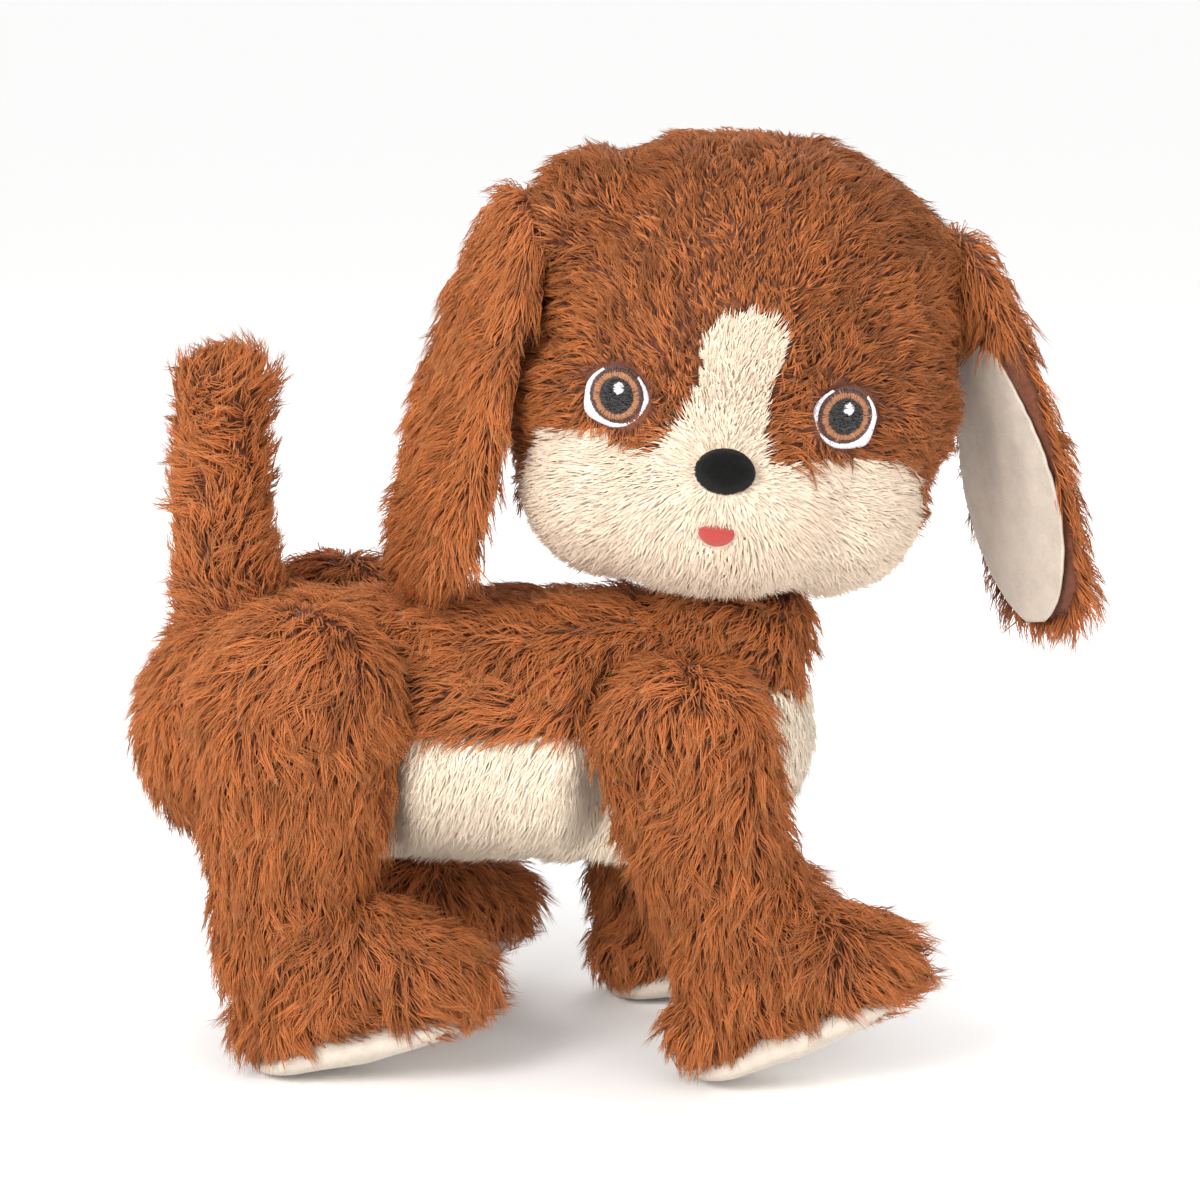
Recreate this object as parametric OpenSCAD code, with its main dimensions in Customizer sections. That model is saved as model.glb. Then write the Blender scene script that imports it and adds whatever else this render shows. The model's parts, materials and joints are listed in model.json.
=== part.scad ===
// Plush walking puppy. X points from tail to chest, Y to the puppy's left, Z up. Millimetres.
// It stands on its heels in mid-stride, with its head turned to its right side.

/* [Torso] */
// Length of the stuffed torso, rump to chest
torso_length = 200; // [190:1:204]
// Width of the torso across the flanks
torso_width = 86; // [82:1:90]
// Height of the torso, belly to back
torso_height = 82; // [80:1:86]
// Height of the middle of the torso above the ground
torso_z = 101; // [100:1:102]

/* [Legs] */
// Height of the shoulder and hip axles above the ground
axle_z = 116; // [114:1:117]
// Distance from the hip axle to the shoulder axle
wheelbase = 116; // [114:1:120]
// Radius of the stuffed thigh
thigh_r = 31; // [28:1:32]
// Width of a leg, inner face to outer face
leg_w = 40; // [38:1:42]
// Length of a sole
sole_length = 74; // [70:1:78]
// Forward reach of the ankle from its axle: front right, front left, rear right, rear left
ankle_reach = [18, -15, -1, 4];
// Toe-up angle of the sole, in the same order
toe_up = [22, 9, 13, 13];

/* [Head] */
// Width of the head across the cheeks
head_width = 136; // [130:1:138]
// Height of the head, chin to crown
head_height = 128; // [124:1:130]
// Height of the middle of the head above the ground
head_z = 218; // [217:1:220]
// How far the head is turned from straight ahead
head_yaw = -88; // [-90:1:-80]
// Sideways lean of the face
head_roll = -5; // [-6:1:0]
// Distance between the middles of the two eyes
eye_spacing = 67; // [60:1:70]

/* [Ears and tail] */
// Length of an ear from its root to its tip
ear_length = 119; // [110:1:122]
// Width of an ear at its widest
ear_width = 50; // [44:1:52]
// Length of the tail above the rump
tail_length = 66; // [55:1:75]
// Radius of the stuffed tail
tail_r = 13.5; // [10:0.5:14]

/* [Hidden] */

soft_fn = 28;      // facets of the soft shapes' blends
hard_fn = 48;      // facets of the moulded and turned pieces
run_gap = 0.05;    // radial clearance of a running fit
fit_gap = 0.5;     // clearance between a pocket and what fills it
far = 400;         // larger than the puppy, for cutting planes

BROWN = [0.60, 0.33, 0.19];
CREAM = [0.93, 0.85, 0.74];
SATIN = [0.88, 0.80, 0.73];
PLASTIC = [0.80, 0.80, 0.78];
STEEL = [0.70, 0.71, 0.73];

shoulder_x = 22;
hip_x = shoulder_x - wheelbase;
chest_x = shoulder_x + 36;
rump_x = chest_x - torso_length;
torso_r = torso_height / 2;

wall = 2;
chassis_half_w = 20;
chassis_back = hip_x - 22;
chassis_front = shoulder_x + 24;
chassis_floor = 84;
chassis_top = 134;
battery_x = [shoulder_x - 86, shoulder_x - 36];
switch_x = battery_x[0] - 9;
button_x = shoulder_x - 64;
board_z = 123.5;
cell_r = 5.25;
cell_length = 44.5;

leg_inner = 24;
leg_mid = leg_inner + leg_w / 2;
hub_r = 6.5;
axle_r = 2;
axle_half = 49;
clip_y = 46.4;
crown_r = 13;
pinion_r = 4.1;
ankle_z = 40;
ankle_r = 21;
pad_h = 6;
heel_flat = 2;

neck_x = shoulder_x + 13;
post_r = 6;
collar_r = 25;
neck_hole_r = 34;
collar_top = 147;
yoke_z = 163;
nod_z = 205;
nod_half = 22;
skull_r = 46;
skull_split = 8;
skull_screw_r = 40.7;
fixed_gear_r = 12;
turn_pinion_r = 4.2;

eye_r = 10.5;
ear_thick = 9;
lining_thick = 3;
ear_root_y = 62;
ear_root_z = [43, 29]; // right, left: the head leans to its left
ear_shift = 1.5;
ear_tilt = 14;
ear_turn = 34;
tail_x = hip_x - 29;
tail_pivot_z = 126;

// ---------------------------------------------------------------- shared shapes

// A cylinder along X, Y or Z, from one end to the other
module rod_x(r, x0, x1) { translate([x0, 0, 0]) rotate([0, 90, 0]) cylinder(r = r, h = x1 - x0, $fn = hard_fn); }
module rod_y(r, y0, y1, fn = hard_fn) { translate([0, y1, 0]) rotate([90, 0, 0]) cylinder(r = r, h = y1 - y0, $fn = fn); }
module rod_z(r, z0, z1) { translate([0, 0, z0]) cylinder(r = r, h = z1 - z0, $fn = hard_fn); }

// A box given by its lowest and highest corners
module box(lo, hi) { translate(lo) cube(hi - lo); }

// An ellipsoid given by its half sizes
module egg(half) { scale(half) sphere(r = 1, $fn = soft_fn); }

// ---------------------------------------------------------------- legs

// Legs are numbered as in ankle_reach; a right leg is on the -Y side
function axle_x(leg) = leg < 2 ? shoulder_x : hip_x;
function side(leg) = leg % 2 == 0 ? -1 : 1;
function ankle_x(leg) = axle_x(leg) + ankle_reach[leg];
function heel_x(leg) = ankle_x(leg) - 14;

// Mirrors a left leg's shape to the side that the leg is on
module on_side(leg) { if (side(leg) > 0) children(); else mirror([0, 1, 0]) children(); }

// Frame of a sole: origin at the heel on the ground, x along the sole, z up through the foot
module on_sole(leg) { translate([heel_x(leg), leg_mid, -heel_flat]) rotate([0, -toe_up[leg], 0]) children(); }

// Outline of a sole, from z0 to z1 above its underside
module sole(z0, z1) {
    heel_r = 17;
    toe_r = 20;
    hull() {
        translate([heel_r, 0, 0]) rod_z(heel_r, z0, z1);
        translate([sole_length - toe_r, 0, 0]) rod_z(toe_r, z0, z1);
    }
}

module leg_outside(leg) {
    hull() {
        translate([axle_x(leg), 0, axle_z]) {
            rod_y(thigh_r - 4, leg_inner, leg_inner + leg_w - 5, soft_fn);
            rod_y(thigh_r, leg_inner + 4, leg_inner + leg_w - 12, soft_fn);
            rod_y(thigh_r - 12, leg_inner + 1, leg_inner + leg_w, soft_fn);
        }
        translate([ankle_x(leg), leg_mid, ankle_z]) sphere(r = ankle_r, $fn = soft_fn);
    }
    hull() {
        translate([ankle_x(leg), leg_mid, ankle_z]) sphere(r = ankle_r, $fn = soft_fn);
        on_sole(leg) {
            translate([0, 0, pad_h]) sole(0.4, 4);
            translate([sole_length - 22, 0, pad_h + 16.5]) egg([20, 20, 16]);
        }
    }
}

// The moulded frame inside a leg, grown by g to make its pocket
module leg_frame_volume(leg, g) {
    on_side(leg) {
        translate([axle_x(leg), 0, axle_z]) {
            rod_y(hub_r + g, 9 - g, 46);
            if (g > 0) rod_y(hub_r + 1.5, leg_inner - 1, axle_half + 1);
        }
        hull() {
            translate([axle_x(leg), 0, axle_z]) rod_y(7.6 + g, 40 - g, 44 + g, soft_fn);
            translate([ankle_x(leg), 0, ankle_z]) rod_y(5 + g, 40 - g, 44 + g, soft_fn);
        }
        hull() {
            translate([ankle_x(leg), 0, ankle_z]) rod_y(4.6 + g, 40.3 - g, 43.7 + g, soft_fn);
            on_sole(leg) box([12 - g, -4 - g, 9.6 - g], [26 + g, g, 11.4 + g]);
        }
        on_sole(leg) box([10 - g, -10 - g, 9 - g], [56 + g, 10 + g, 12 + g]);
    }
}

module leg_fur(leg) {
    color(BROWN) difference() {
        on_side(leg) leg_outside(leg);
        leg_frame_volume(leg, fit_gap);
    }
}

module leg_frame(leg) {
    tooth_count = 24;
    color(PLASTIC) difference() {
        union() {
            leg_frame_volume(leg, 0);
            on_side(leg) translate([axle_x(leg), 0, axle_z]) {
                rod_y(crown_r, 6, 9);
                for (i = [0 : tooth_count - 1]) rotate([0, i * 360 / tooth_count, 0])
                    box([crown_r - 5, 4.4, -0.5], [crown_r - 0.3, 6.2, 0.5]);
            }
        }
        on_side(leg) translate([axle_x(leg), 0, axle_z]) rod_y(axle_r + run_gap, 0, 60);
    }
}

module paw_pad(leg) {
    color(SATIN) on_side(leg) difference() {
        on_sole(leg) sole(0, pad_h);
        box([-far, -far, -far], [far, far, 0]);
    }
}

// Space that a leg sweeps through as it swings, cut out of the torso
module leg_pocket(leg) {
    swing = 19;
    clear = 1.5;
    reach = [for (a = [-swing, swing]) (axle_z - ankle_z) * tan(a)];
    mean = 2;
    on_side(leg) hull() {
        translate([axle_x(leg), 0, axle_z]) rod_y(thigh_r + clear, leg_inner - clear, 70);
        for (r = reach) translate([axle_x(leg) + mean + r, 0, ankle_z]) rod_y(ankle_r, leg_inner - clear, 70);
    }
}

// ---------------------------------------------------------------- torso

module torso_outside() {
    hull() for (x = [rump_x + torso_r, chest_x - torso_r]) translate([x, 0, torso_z])
        egg([torso_r, torso_width / 2, torso_r]);
    translate([neck_x, 0, 0]) rod_z(collar_r, torso_z, collar_top);
}

module torso_cavity() {
    g = fit_gap;
    box([chassis_back - g, -chassis_half_w - g, chassis_floor - g],
        [chassis_front + g, chassis_half_w + g, chassis_top + g]);
    translate([neck_x, 0, 0]) rod_z(16, chassis_top, far);
    translate([tail_x, 0, 0]) {
        box([-5, -14, tail_pivot_z - 26], [12, 14, tail_pivot_z + 6]);
        translate([0, 0, tail_pivot_z]) hull() {
            rotate([0, -6, 0]) box([-5, -14, 0], [5, 14, 2]);
            rotate([0, -6, 0]) box([-5, -26, 36], [5, 26, 37]);
        }
    }
    translate([button_x, 0, 0]) rod_z(5, chassis_top, chassis_top + 5);
    for (leg = [0 : 3]) on_side(leg) translate([axle_x(leg), 0, axle_z]) rod_y(hub_r + 1, 15, 40);
}

// The cream panel covers the belly and the lower chest
module belly_region() {
    box([hip_x + 22, -far, -far], [far, far, 102]);
}

// The opening in the belly over the battery door and the switch, its sides moved out by g
module belly_opening(g) {
    box([switch_x - 9 - g, -18 - g, -far], [battery_x[1] + 3 + g, 18 + g, chassis_floor + 1]);
}

module torso_fur() {
    color(BROWN) difference() {
        torso_outside();
        belly_region();
        torso_cavity();
        belly_opening(2);
        for (leg = [0 : 3]) leg_pocket(leg);
    }
}

module belly_fur() {
    color(CREAM) difference() {
        intersection() { torso_outside(); belly_region(); }
        torso_cavity();
        belly_opening(2);
        for (leg = [0 : 3]) leg_pocket(leg);
    }
}

module belly_flap() {
    color(CREAM) intersection() {
        hull() for (x = [rump_x + torso_r, chest_x - torso_r]) translate([x, 0, torso_z])
            egg([torso_r - 0.5, torso_width / 2, torso_r - 0.5]);
        belly_opening(1);
        box([-far, -far, 0], [far, far, 68]);
    }
}

// ---------------------------------------------------------------- chassis

module chassis_shell() {
    difference() {
        union() {
            difference() {
                box([chassis_back, -chassis_half_w, chassis_floor], [chassis_front, chassis_half_w, chassis_top]);
                box([chassis_back + wall, -chassis_half_w + wall, chassis_floor + wall],
                    [chassis_front - wall, chassis_half_w - wall, chassis_top - wall]);
            }
            for (p = screw_places()) translate([p[0], 0, p[1]]) rod_y(3.4, -chassis_half_w + wall, chassis_half_w - wall);
            translate([tail_x, 0, tail_pivot_z]) box([3.2, -4, -4], [tail_bracket_gap(), 4, 4]);
            translate([tail_x, 0, tail_pivot_z]) rod_x(2, -4, 4);
        }
        for (p = screw_places()) translate([p[0], 0, p[1]]) {
            rod_y(1.4, -chassis_half_w - 1, chassis_half_w + 1);
            rod_y(2.7, -chassis_half_w - 1, -chassis_half_w + 2.2);
        }
        for (x = [shoulder_x, hip_x]) translate([x, 0, axle_z]) rod_y(hub_r + run_gap, -30, 30);
        box([battery_x[0], -16, 0], [battery_x[1], 16, chassis_floor + 3]);
        for (i = [-2 : 2]) translate([shoulder_x + i * 4, 0, 0]) box([-1, -9, 0], [1, 9, chassis_floor + 3]);
        translate([switch_x, 0, 0]) box([-4, -2.2, 0], [4, 2.2, chassis_floor + 3]);
        translate([button_x, 0, 0]) rod_z(3 + run_gap, chassis_top - 4, chassis_top + 4);
        translate([neck_x, 0, 0]) rod_z(4, chassis_top - 4, chassis_top + 4);
    }
}

function tail_bracket_gap() = chassis_back - tail_x + 0.1;
function screw_places() = [for (x = [chassis_back + 6, button_x - 2, chassis_front - 6]) for (z = [chassis_floor + 22]) [x, z]];

module chassis_left() { color(PLASTIC) intersection() { chassis_shell(); box([-far, 0, 0], [far, far, far]); } }
module chassis_right() { color(PLASTIC) intersection() { chassis_shell(); box([-far, -far, 0], [far, 0, far]); } }

module chassis_screws() {
    color(STEEL) for (p = screw_places()) translate([p[0], 0, p[1]]) {
        rod_y(1.35, -chassis_half_w + 2, 14);
        rod_y(2.6, -chassis_half_w + 0.6, -chassis_half_w + 2.2);
    }
}

module battery_cells() {
    z = chassis_floor + 8;
    x0 = battery_x[0] + 2.6;
    color("darkgreen") for (i = [-1 : 1]) translate([0, i * (2 * cell_r + 0.3), z]) {
        rod_x(cell_r, x0 + 0.8, x0 + cell_length);
        if (i == 0) rod_x(1.9, x0, x0 + 0.9);
        else rod_x(1.9, x0 + cell_length - 0.1, x0 + cell_length + 0.6);
    }
}

module battery_contacts() {
    z = chassis_floor + 8;
    color(STEEL) for (x = [battery_x[0] + 1.4, battery_x[1] - 1.4 - 0.4]) for (i = [-1 : 1])
        translate([x, i * (2 * cell_r + 0.3), z]) box([0, -4, -4], [0.4, 4, 4]);
}

module battery_cover() {
    color(PLASTIC) {
        difference() {
            box([battery_x[0] + 0.4, -15.6, chassis_floor - 1.4], [battery_x[1] - 0.4, 15.6, chassis_floor + 1.6]);
            for (i = [-2 : 2]) translate([battery_x[1] - 12 + i * 3, 0, 0])
                box([-0.7, -8, 0], [0.7, 8, chassis_floor - 0.6]);
            translate([battery_x[0] + 6, 0, 0]) rod_z(1.5, chassis_floor - 5, chassis_floor + 5);
        }
        translate([battery_x[0] + 6, 0, 0]) rod_z(1.5, chassis_floor - 0.8, chassis_floor + 1.6);
    }
}

module circuit_board() {
    color("seagreen") translate([button_x, 0, board_z]) {
        difference() {
            box([-33, -15, 0], [31, 15, 1.6]);
            rod_z(1.2, -1, 3);
        }
        box([-26, -6, 1.6], [-14, 6, 3.2]);
        box([12, -4, 1.6], [20, 4, 3]);
        box([-3, 5.5, 1.6], [3, 11.5, 3.4]);
    }
}

module back_button() {
    color(PLASTIC) translate([button_x, 0, 0]) {
        rod_z(3, chassis_top - 7, chassis_top + 1.5);
        rod_z(4.2, chassis_top - 4.5, chassis_top - 3.2);
    }
}

module speaker_frame() {
    color([0.2, 0.2, 0.22]) translate([shoulder_x, 0, chassis_floor + wall + 0.2]) difference() {
        union() {
            rod_z(14, 0, 2);
            rod_z(10, 2, 5);
            rod_z(7, 5, 9);
        }
        translate([0, 0, -0.1]) cylinder(r1 = 12, r2 = 8, h = 4.1, $fn = hard_fn);
    }
}

module speaker_cone() {
    color([0.25, 0.25, 0.25]) translate([shoulder_x, 0, chassis_floor + wall + 0.4]) difference() {
        cylinder(r1 = 11.6, r2 = 7.7, h = 3.6, $fn = hard_fn);
        translate([0, 0, -0.01]) cylinder(r1 = 10.8, r2 = 6.9, h = 2.6, $fn = hard_fn);
    }
}

module switch_housing() {
    color([0.15, 0.15, 0.16]) translate([switch_x, 0, chassis_floor + wall + 0.2]) difference() {
        box([-8, -4.5, 0], [8, 4.5, 8]);
        box([-5.2, -2.2, -1], [5.2, 2.2, 5]);
    }
}

module power_slider() {
    color([0.1, 0.1, 0.1]) translate([switch_x, 0, chassis_floor]) {
        box([-3.4, -1.8, -1.2], [-0.6, 1.8, 6]);
    }
}

// A flat gear motor: gear case at x0, can behind it, its shaft bored along X
module gear_motor(x0, dir) {
    translate([x0, 0, axle_z]) difference() {
        union() {
            if (dir > 0) box([-9, -5, -6], [0, 5, 6]); else box([0, -5, -6], [9, 5, 6]);
            intersection() {
                if (dir > 0) rod_x(6, -24, -9); else rod_x(6, 9, 24);
                box([-24, -5, -6], [24, 5, 6]);
            }
        }
        rod_x(1.5 + run_gap, -5, 5);
    }
}

front_motor_x = shoulder_x - 17;
rear_motor_x = hip_x + 17;

module front_leg_motor() { color(STEEL) gear_motor(front_motor_x, 1); }
module rear_leg_motor() { color(STEEL) gear_motor(rear_motor_x, -1); }

// A pinion on its motor's shaft; the teeth stand on a core of radius pinion_r less one tooth
module pinion(r, x0, x1) {
    tooth_count = 8;
    rod_x(r - 1.4, x0, x1);
    for (i = [0 : tooth_count - 1]) rotate([i * 360 / tooth_count, 0, 0])
        box([x0 + 0.2, -0.5, r - 1.8], [x1 - 0.2, 0.5, r]);
}

module front_pinion() {
    color("gold") translate([shoulder_x, 0, axle_z]) {
        pinion(pinion_r, -13, -8);
        rod_x(1.5, -20, -12);
    }
}

module rear_pinion() {
    color("gold") translate([hip_x, 0, axle_z]) {
        pinion(pinion_r, 8, 13);
        rod_x(1.5, 12, 20);
    }
}

module front_axle() { color(STEEL) translate([shoulder_x, 0, axle_z]) rod_y(axle_r, -axle_half, axle_half); }
module rear_axle() { color(STEEL) translate([hip_x, 0, axle_z]) rod_y(axle_r, -axle_half, axle_half); }

module axle_clips() {
    color(STEEL) for (x = [shoulder_x, hip_x]) for (s = [-1, 1]) translate([x, s * (clip_y + 0.6), axle_z])
        difference() {
            rod_y(5, -0.6, 0.6);
            rod_y(axle_r + 0.02, -2, 2);
        }
}

// ---------------------------------------------------------------- tail

module tail_frame() { translate([tail_x, 0, tail_pivot_z]) rotate([0, -3, 0]) children(); }

module tail_fur() {
    color(BROWN) tail_frame() difference() {
        hull() {
            translate([0, 0, 18]) egg([tail_r - 2, tail_r - 2, 6]);
            translate([0, 0, tail_length * 0.5 + 16]) rod_z(tail_r, 0, 6);
            translate([0, 0, tail_length + 16]) egg([tail_r - 2, tail_r - 2, 6]);
        }
        rod_z(2 + fit_gap, 0, tail_length + 6);
    }
}

module tail_lever() {
    color(PLASTIC) {
        tail_frame() rod_z(2, 3.6, tail_length + 5);
        translate([tail_x, 0, tail_pivot_z]) difference() {
            union() {
                rod_x(5, -3, 3);
                box([-3, -3, -14], [3, 3, 0]);
            }
            rod_x(2 + run_gap, -9, 9);
            translate([0, 0, -11]) rod_x(2.6, -5, 1);
        }
    }
}

module tail_magnet() { color(STEEL) translate([tail_x, 0, tail_pivot_z - 11]) rod_x(2.55, -2.9, 0.9); }

module tail_coil() {
    color([0.72, 0.42, 0.2]) translate([chassis_back - 1, 0, tail_pivot_z - 12]) difference() {
        rod_x(6, -2.6, 0.9);
        rod_x(2.5, -4, 2);
    }
}

// ---------------------------------------------------------------- neck

module at_neck() { translate([neck_x, 0, 0]) rotate([0, 0, head_yaw]) children(); }

module neck_post() {
    tooth_count = 24;
    color(PLASTIC) translate([neck_x, 0, 0]) {
        rod_z(13, chassis_top + 0.1, chassis_top + 2.5);
        rod_z(post_r, chassis_top + 2, yoke_z + 4);
        rod_z(9, yoke_z + 3.4, yoke_z + 5);
        rod_z(3.8, chassis_top - 3, chassis_top + 1);
        rod_z(fixed_gear_r - 1.5, yoke_z - 5, yoke_z - 1.5);
        for (i = [0 : tooth_count - 1]) rotate([0, 0, i * 360 / tooth_count])
            box([fixed_gear_r - 2.5, -0.6, yoke_z - 5], [fixed_gear_r, 0.6, yoke_z - 1.5]);
    }
}

module neck_yoke() {
    color(PLASTIC) at_neck() difference() {
        union() {
            rod_z(22, yoke_z, yoke_z + 3);
            for (s = [-1, 1]) hull() {
                translate([0, s * 19.5, nod_z]) rod_y(5, -1.5, 1.5);
                translate([0, s * 19.5, yoke_z + 2]) box([-8, -1.5, 0], [8, 1.5, 1]);
            }
        }
        rod_z(post_r + run_gap, yoke_z - 5, yoke_z + 8);
        translate([-turn_offset(), 0, 0]) rod_z(1.5 + run_gap, yoke_z - 5, yoke_z + 8);
        translate([0, 0, nod_z]) rod_y(2, -40, 40);
    }
}

function turn_offset() = fixed_gear_r + turn_pinion_r + 0.3;

module nod_pins() {
    color(STEEL) at_neck() for (s = [-1, 1]) translate([0, s * 24, nod_z]) rod_y(2, -6, 6);
}

module turn_motor() {
    color(STEEL) at_neck() translate([-turn_offset(), 0, yoke_z + 3.1]) difference() {
        union() {
            box([-5, -6, 0], [5, 6, 9]);
            intersection() { rod_z(6, 9, 23); box([-5, -6, 0], [5, 6, 24]); }
        }
        rod_z(1.5 + run_gap, -1, 6);
    }
}

module turn_pinion() {
    color("gold") at_neck() translate([-turn_offset(), 0, yoke_z]) {
        rotate([0, 90, 0]) pinion(turn_pinion_r, 1.5, 5);
        rod_z(1.5, -2, 8);
    }
}

// ---------------------------------------------------------------- head

module at_head() { translate([neck_x, 0, head_z]) rotate([0, 0, head_yaw]) children(); }
module at_face() { at_head() rotate([head_roll, 0, 0]) children(); }

module skull_shell() {
    nod = nod_z - head_z;
    difference() {
        sphere(r = skull_r, $fn = hard_fn);
        sphere(r = skull_r - wall, $fn = hard_fn);
        rod_z(30, -skull_r - 5, -32);
        rod_z(3 + run_gap, skull_r - 6, skull_r + 5);
    }
    for (s = [0, 1]) mirror([0, s, 0]) translate([0, 0, nod]) difference() {
        rod_y(5, 24.5, 42.5);
        rod_y(2 + run_gap, 20, 36);
    }
}

module skull_front() {
    color(PLASTIC) at_head() difference() {
        intersection() { skull_shell(); box([skull_split, -far, -far], [far, far, far]); }
        for (p = skull_screw_places()) translate([0, p[0], p[1]]) rod_x(1.3, 0, skull_split + 6);
    }
}

module skull_back() {
    color(PLASTIC) at_head() difference() {
        union() {
            intersection() { skull_shell(); box([-far, -far, -far], [skull_split, far, far]); }
            for (p = skull_screw_places()) translate([0, p[0], p[1]]) rod_x(2.8, -8, skull_split);
        }
        for (p = skull_screw_places()) translate([0, p[0], p[1]]) rod_x(1.3, -9, skull_split + 6);
    }
}

function skull_screw_places() = [for (a = [35, 145]) [skull_screw_r * cos(a), skull_screw_r * sin(a)]];

module skull_screws() {
    color(STEEL) at_head() for (p = skull_screw_places()) translate([0, p[0], p[1]]) {
        rod_x(1.25, -8, skull_split + 2);
        rod_x(2.1, -9.6, -8);
    }
}

module head_button() {
    color(PLASTIC) at_head() {
        rod_z(3, skull_r - 7, skull_r + 1.5);
        rod_z(4.2, skull_r - 4.6, skull_r - 3.4);
    }
}

module head_outside() {
    w = head_width / 2;
    h = head_height / 2;
    hull() {
        translate([-6, 0, h - 55]) egg([58, w - 7, 55]);
        translate([2, 0, 42 - h]) egg([54, w, 42]);
        translate([30, 0, 30 - h]) egg([35, 46, 28]);
    }
}

module head_cavity() {
    sphere(r = skull_r + fit_gap, $fn = hard_fn);
    rotate([-head_roll, 0, 0]) {
        rod_z(neck_hole_r, -far, 0);
        rod_z(5, 0, skull_r + 5);
    }
    for (s = [-1, 1]) on_eye(s) rod_x(eye_r + 0.4, -1.4, 20);
    on_nose() rod_x(8.4, -2, 20);
    on_tongue() box([-2, -6.4, -3.8], [20, 6.4, 3.8]);
}

module face_region() {
    intersection() {
        union() {
            box([16, -56, -far], [far, 56, -14]);
            box([26, -11, -20], [far, 11, 27]);
        }
        rod_z(100, -far, far);
    }
}

// Frames on the face, x pointing out of the fur
module on_eye(s) {
    translate([46, s * eye_spacing / 2, -9]) rotate([0, 4, s * 30]) children();
}
module on_nose() { translate([61, 0, -28]) rotate([0, 10, 0]) children(); }
module on_tongue() { translate([61, -1, -47]) rotate([0, 30, 0]) children(); }

module head_fur() {
    color(BROWN) at_face() difference() {
        head_outside();
        face_region();
        head_cavity();
    }
}

module face_fur() {
    color(CREAM) at_face() difference() {
        intersection() { head_outside(); face_region(); }
        head_cavity();
    }
}

module eye(s) {
    color("saddlebrown") at_face() on_eye(s) {
        rod_x(eye_r, -1, 0.2);
        rod_x(eye_r - 3, 0.2, 1);
    }
}

module nose() {
    color([0.09, 0.08, 0.08]) at_face() on_nose() hull() {
        for (y = [-2, 2]) translate([0, y, 0]) {
            rod_x(6, -1.6, 1);
            rod_x(3.6, 1, 4);
        }
    }
}

module tongue() {
    color([0.80, 0.37, 0.33]) at_face() on_tongue() intersection() {
        translate([0, 0, 3.4]) rod_x(6.6, -1.6, 1.6);
        box([-2, -6, -3.4], [4, 6, 3.4]);
    }
}

// ---------------------------------------------------------------- ears

// Frame of an ear: origin at its root, z up, x across the ear, y out through its fur side
module at_ear(s) {
    at_head() translate([2 - s * 10, s * ear_root_y + ear_shift, ear_root_z[s > 0 ? 1 : 0]])
        rotate([s * ear_tilt, 0, 0]) rotate([0, 0, ear_turn]) children();
}

// An ear's outline between two depths; s mirrors it from left to right
module ear_slab(s, y0, y1, inset) {
    w = ear_width / 2 - inset;
    hull() {
        translate([0, 0, -14]) rod_y(w * 0.62, y0, y1);
        translate([0, 0, -ear_length * 0.62]) rod_y(w, y0, y1);
        translate([0, 0, -ear_length + w * 0.8 + inset]) rod_y(w * 0.8, y0, y1);
    }
}

module ear_fur(s) { color(BROWN) at_ear(s) scale([1, s, 1]) ear_slab(s, 3, 3 + ear_thick, 0); }
module ear_lining(s) { color(SATIN) at_ear(s) scale([1, s, 1]) ear_slab(s, 3 - lining_thick, 2.9, 4); }

torso_fur();
belly_fur();
chassis_left();
chassis_right();
chassis_screws();
battery_cells();
battery_contacts();
battery_cover();
belly_flap();
circuit_board();
speaker_frame();
speaker_cone();
switch_housing();
power_slider();
back_button();
front_leg_motor();
rear_leg_motor();
front_pinion();
rear_pinion();
front_axle();
rear_axle();
axle_clips();
tail_coil();
neck_post();
neck_yoke();
nod_pins();
turn_motor();
turn_pinion();
skull_front();
skull_back();
skull_screws();
head_button();
head_fur();
face_fur();
eye(-1);  // eye_right
eye(1);  // eye_left
nose();
tongue();
ear_fur(-1);  // ear_right_fur
ear_lining(-1);  // ear_right_lining
ear_fur(1);  // ear_left_fur
ear_lining(1);  // ear_left_lining
tail_fur();
tail_lever();
tail_magnet();
leg_fur(0);  // front_right_leg_fur
leg_frame(0);  // front_right_leg_frame
paw_pad(0);  // front_right_paw_pad
leg_fur(1);  // front_left_leg_fur
leg_frame(1);  // front_left_leg_frame
paw_pad(1);  // front_left_paw_pad
leg_fur(2);  // rear_right_leg_fur
leg_frame(2);  // rear_right_leg_frame
paw_pad(2);  // rear_right_paw_pad
leg_fur(3);  // rear_left_leg_fur
leg_frame(3);  // rear_left_leg_frame
paw_pad(3);  // rear_left_paw_pad
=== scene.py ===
import json
import math
from dataclasses import dataclass, replace

import bpy
import numpy as np
from mathutils import Matrix, Vector


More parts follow.
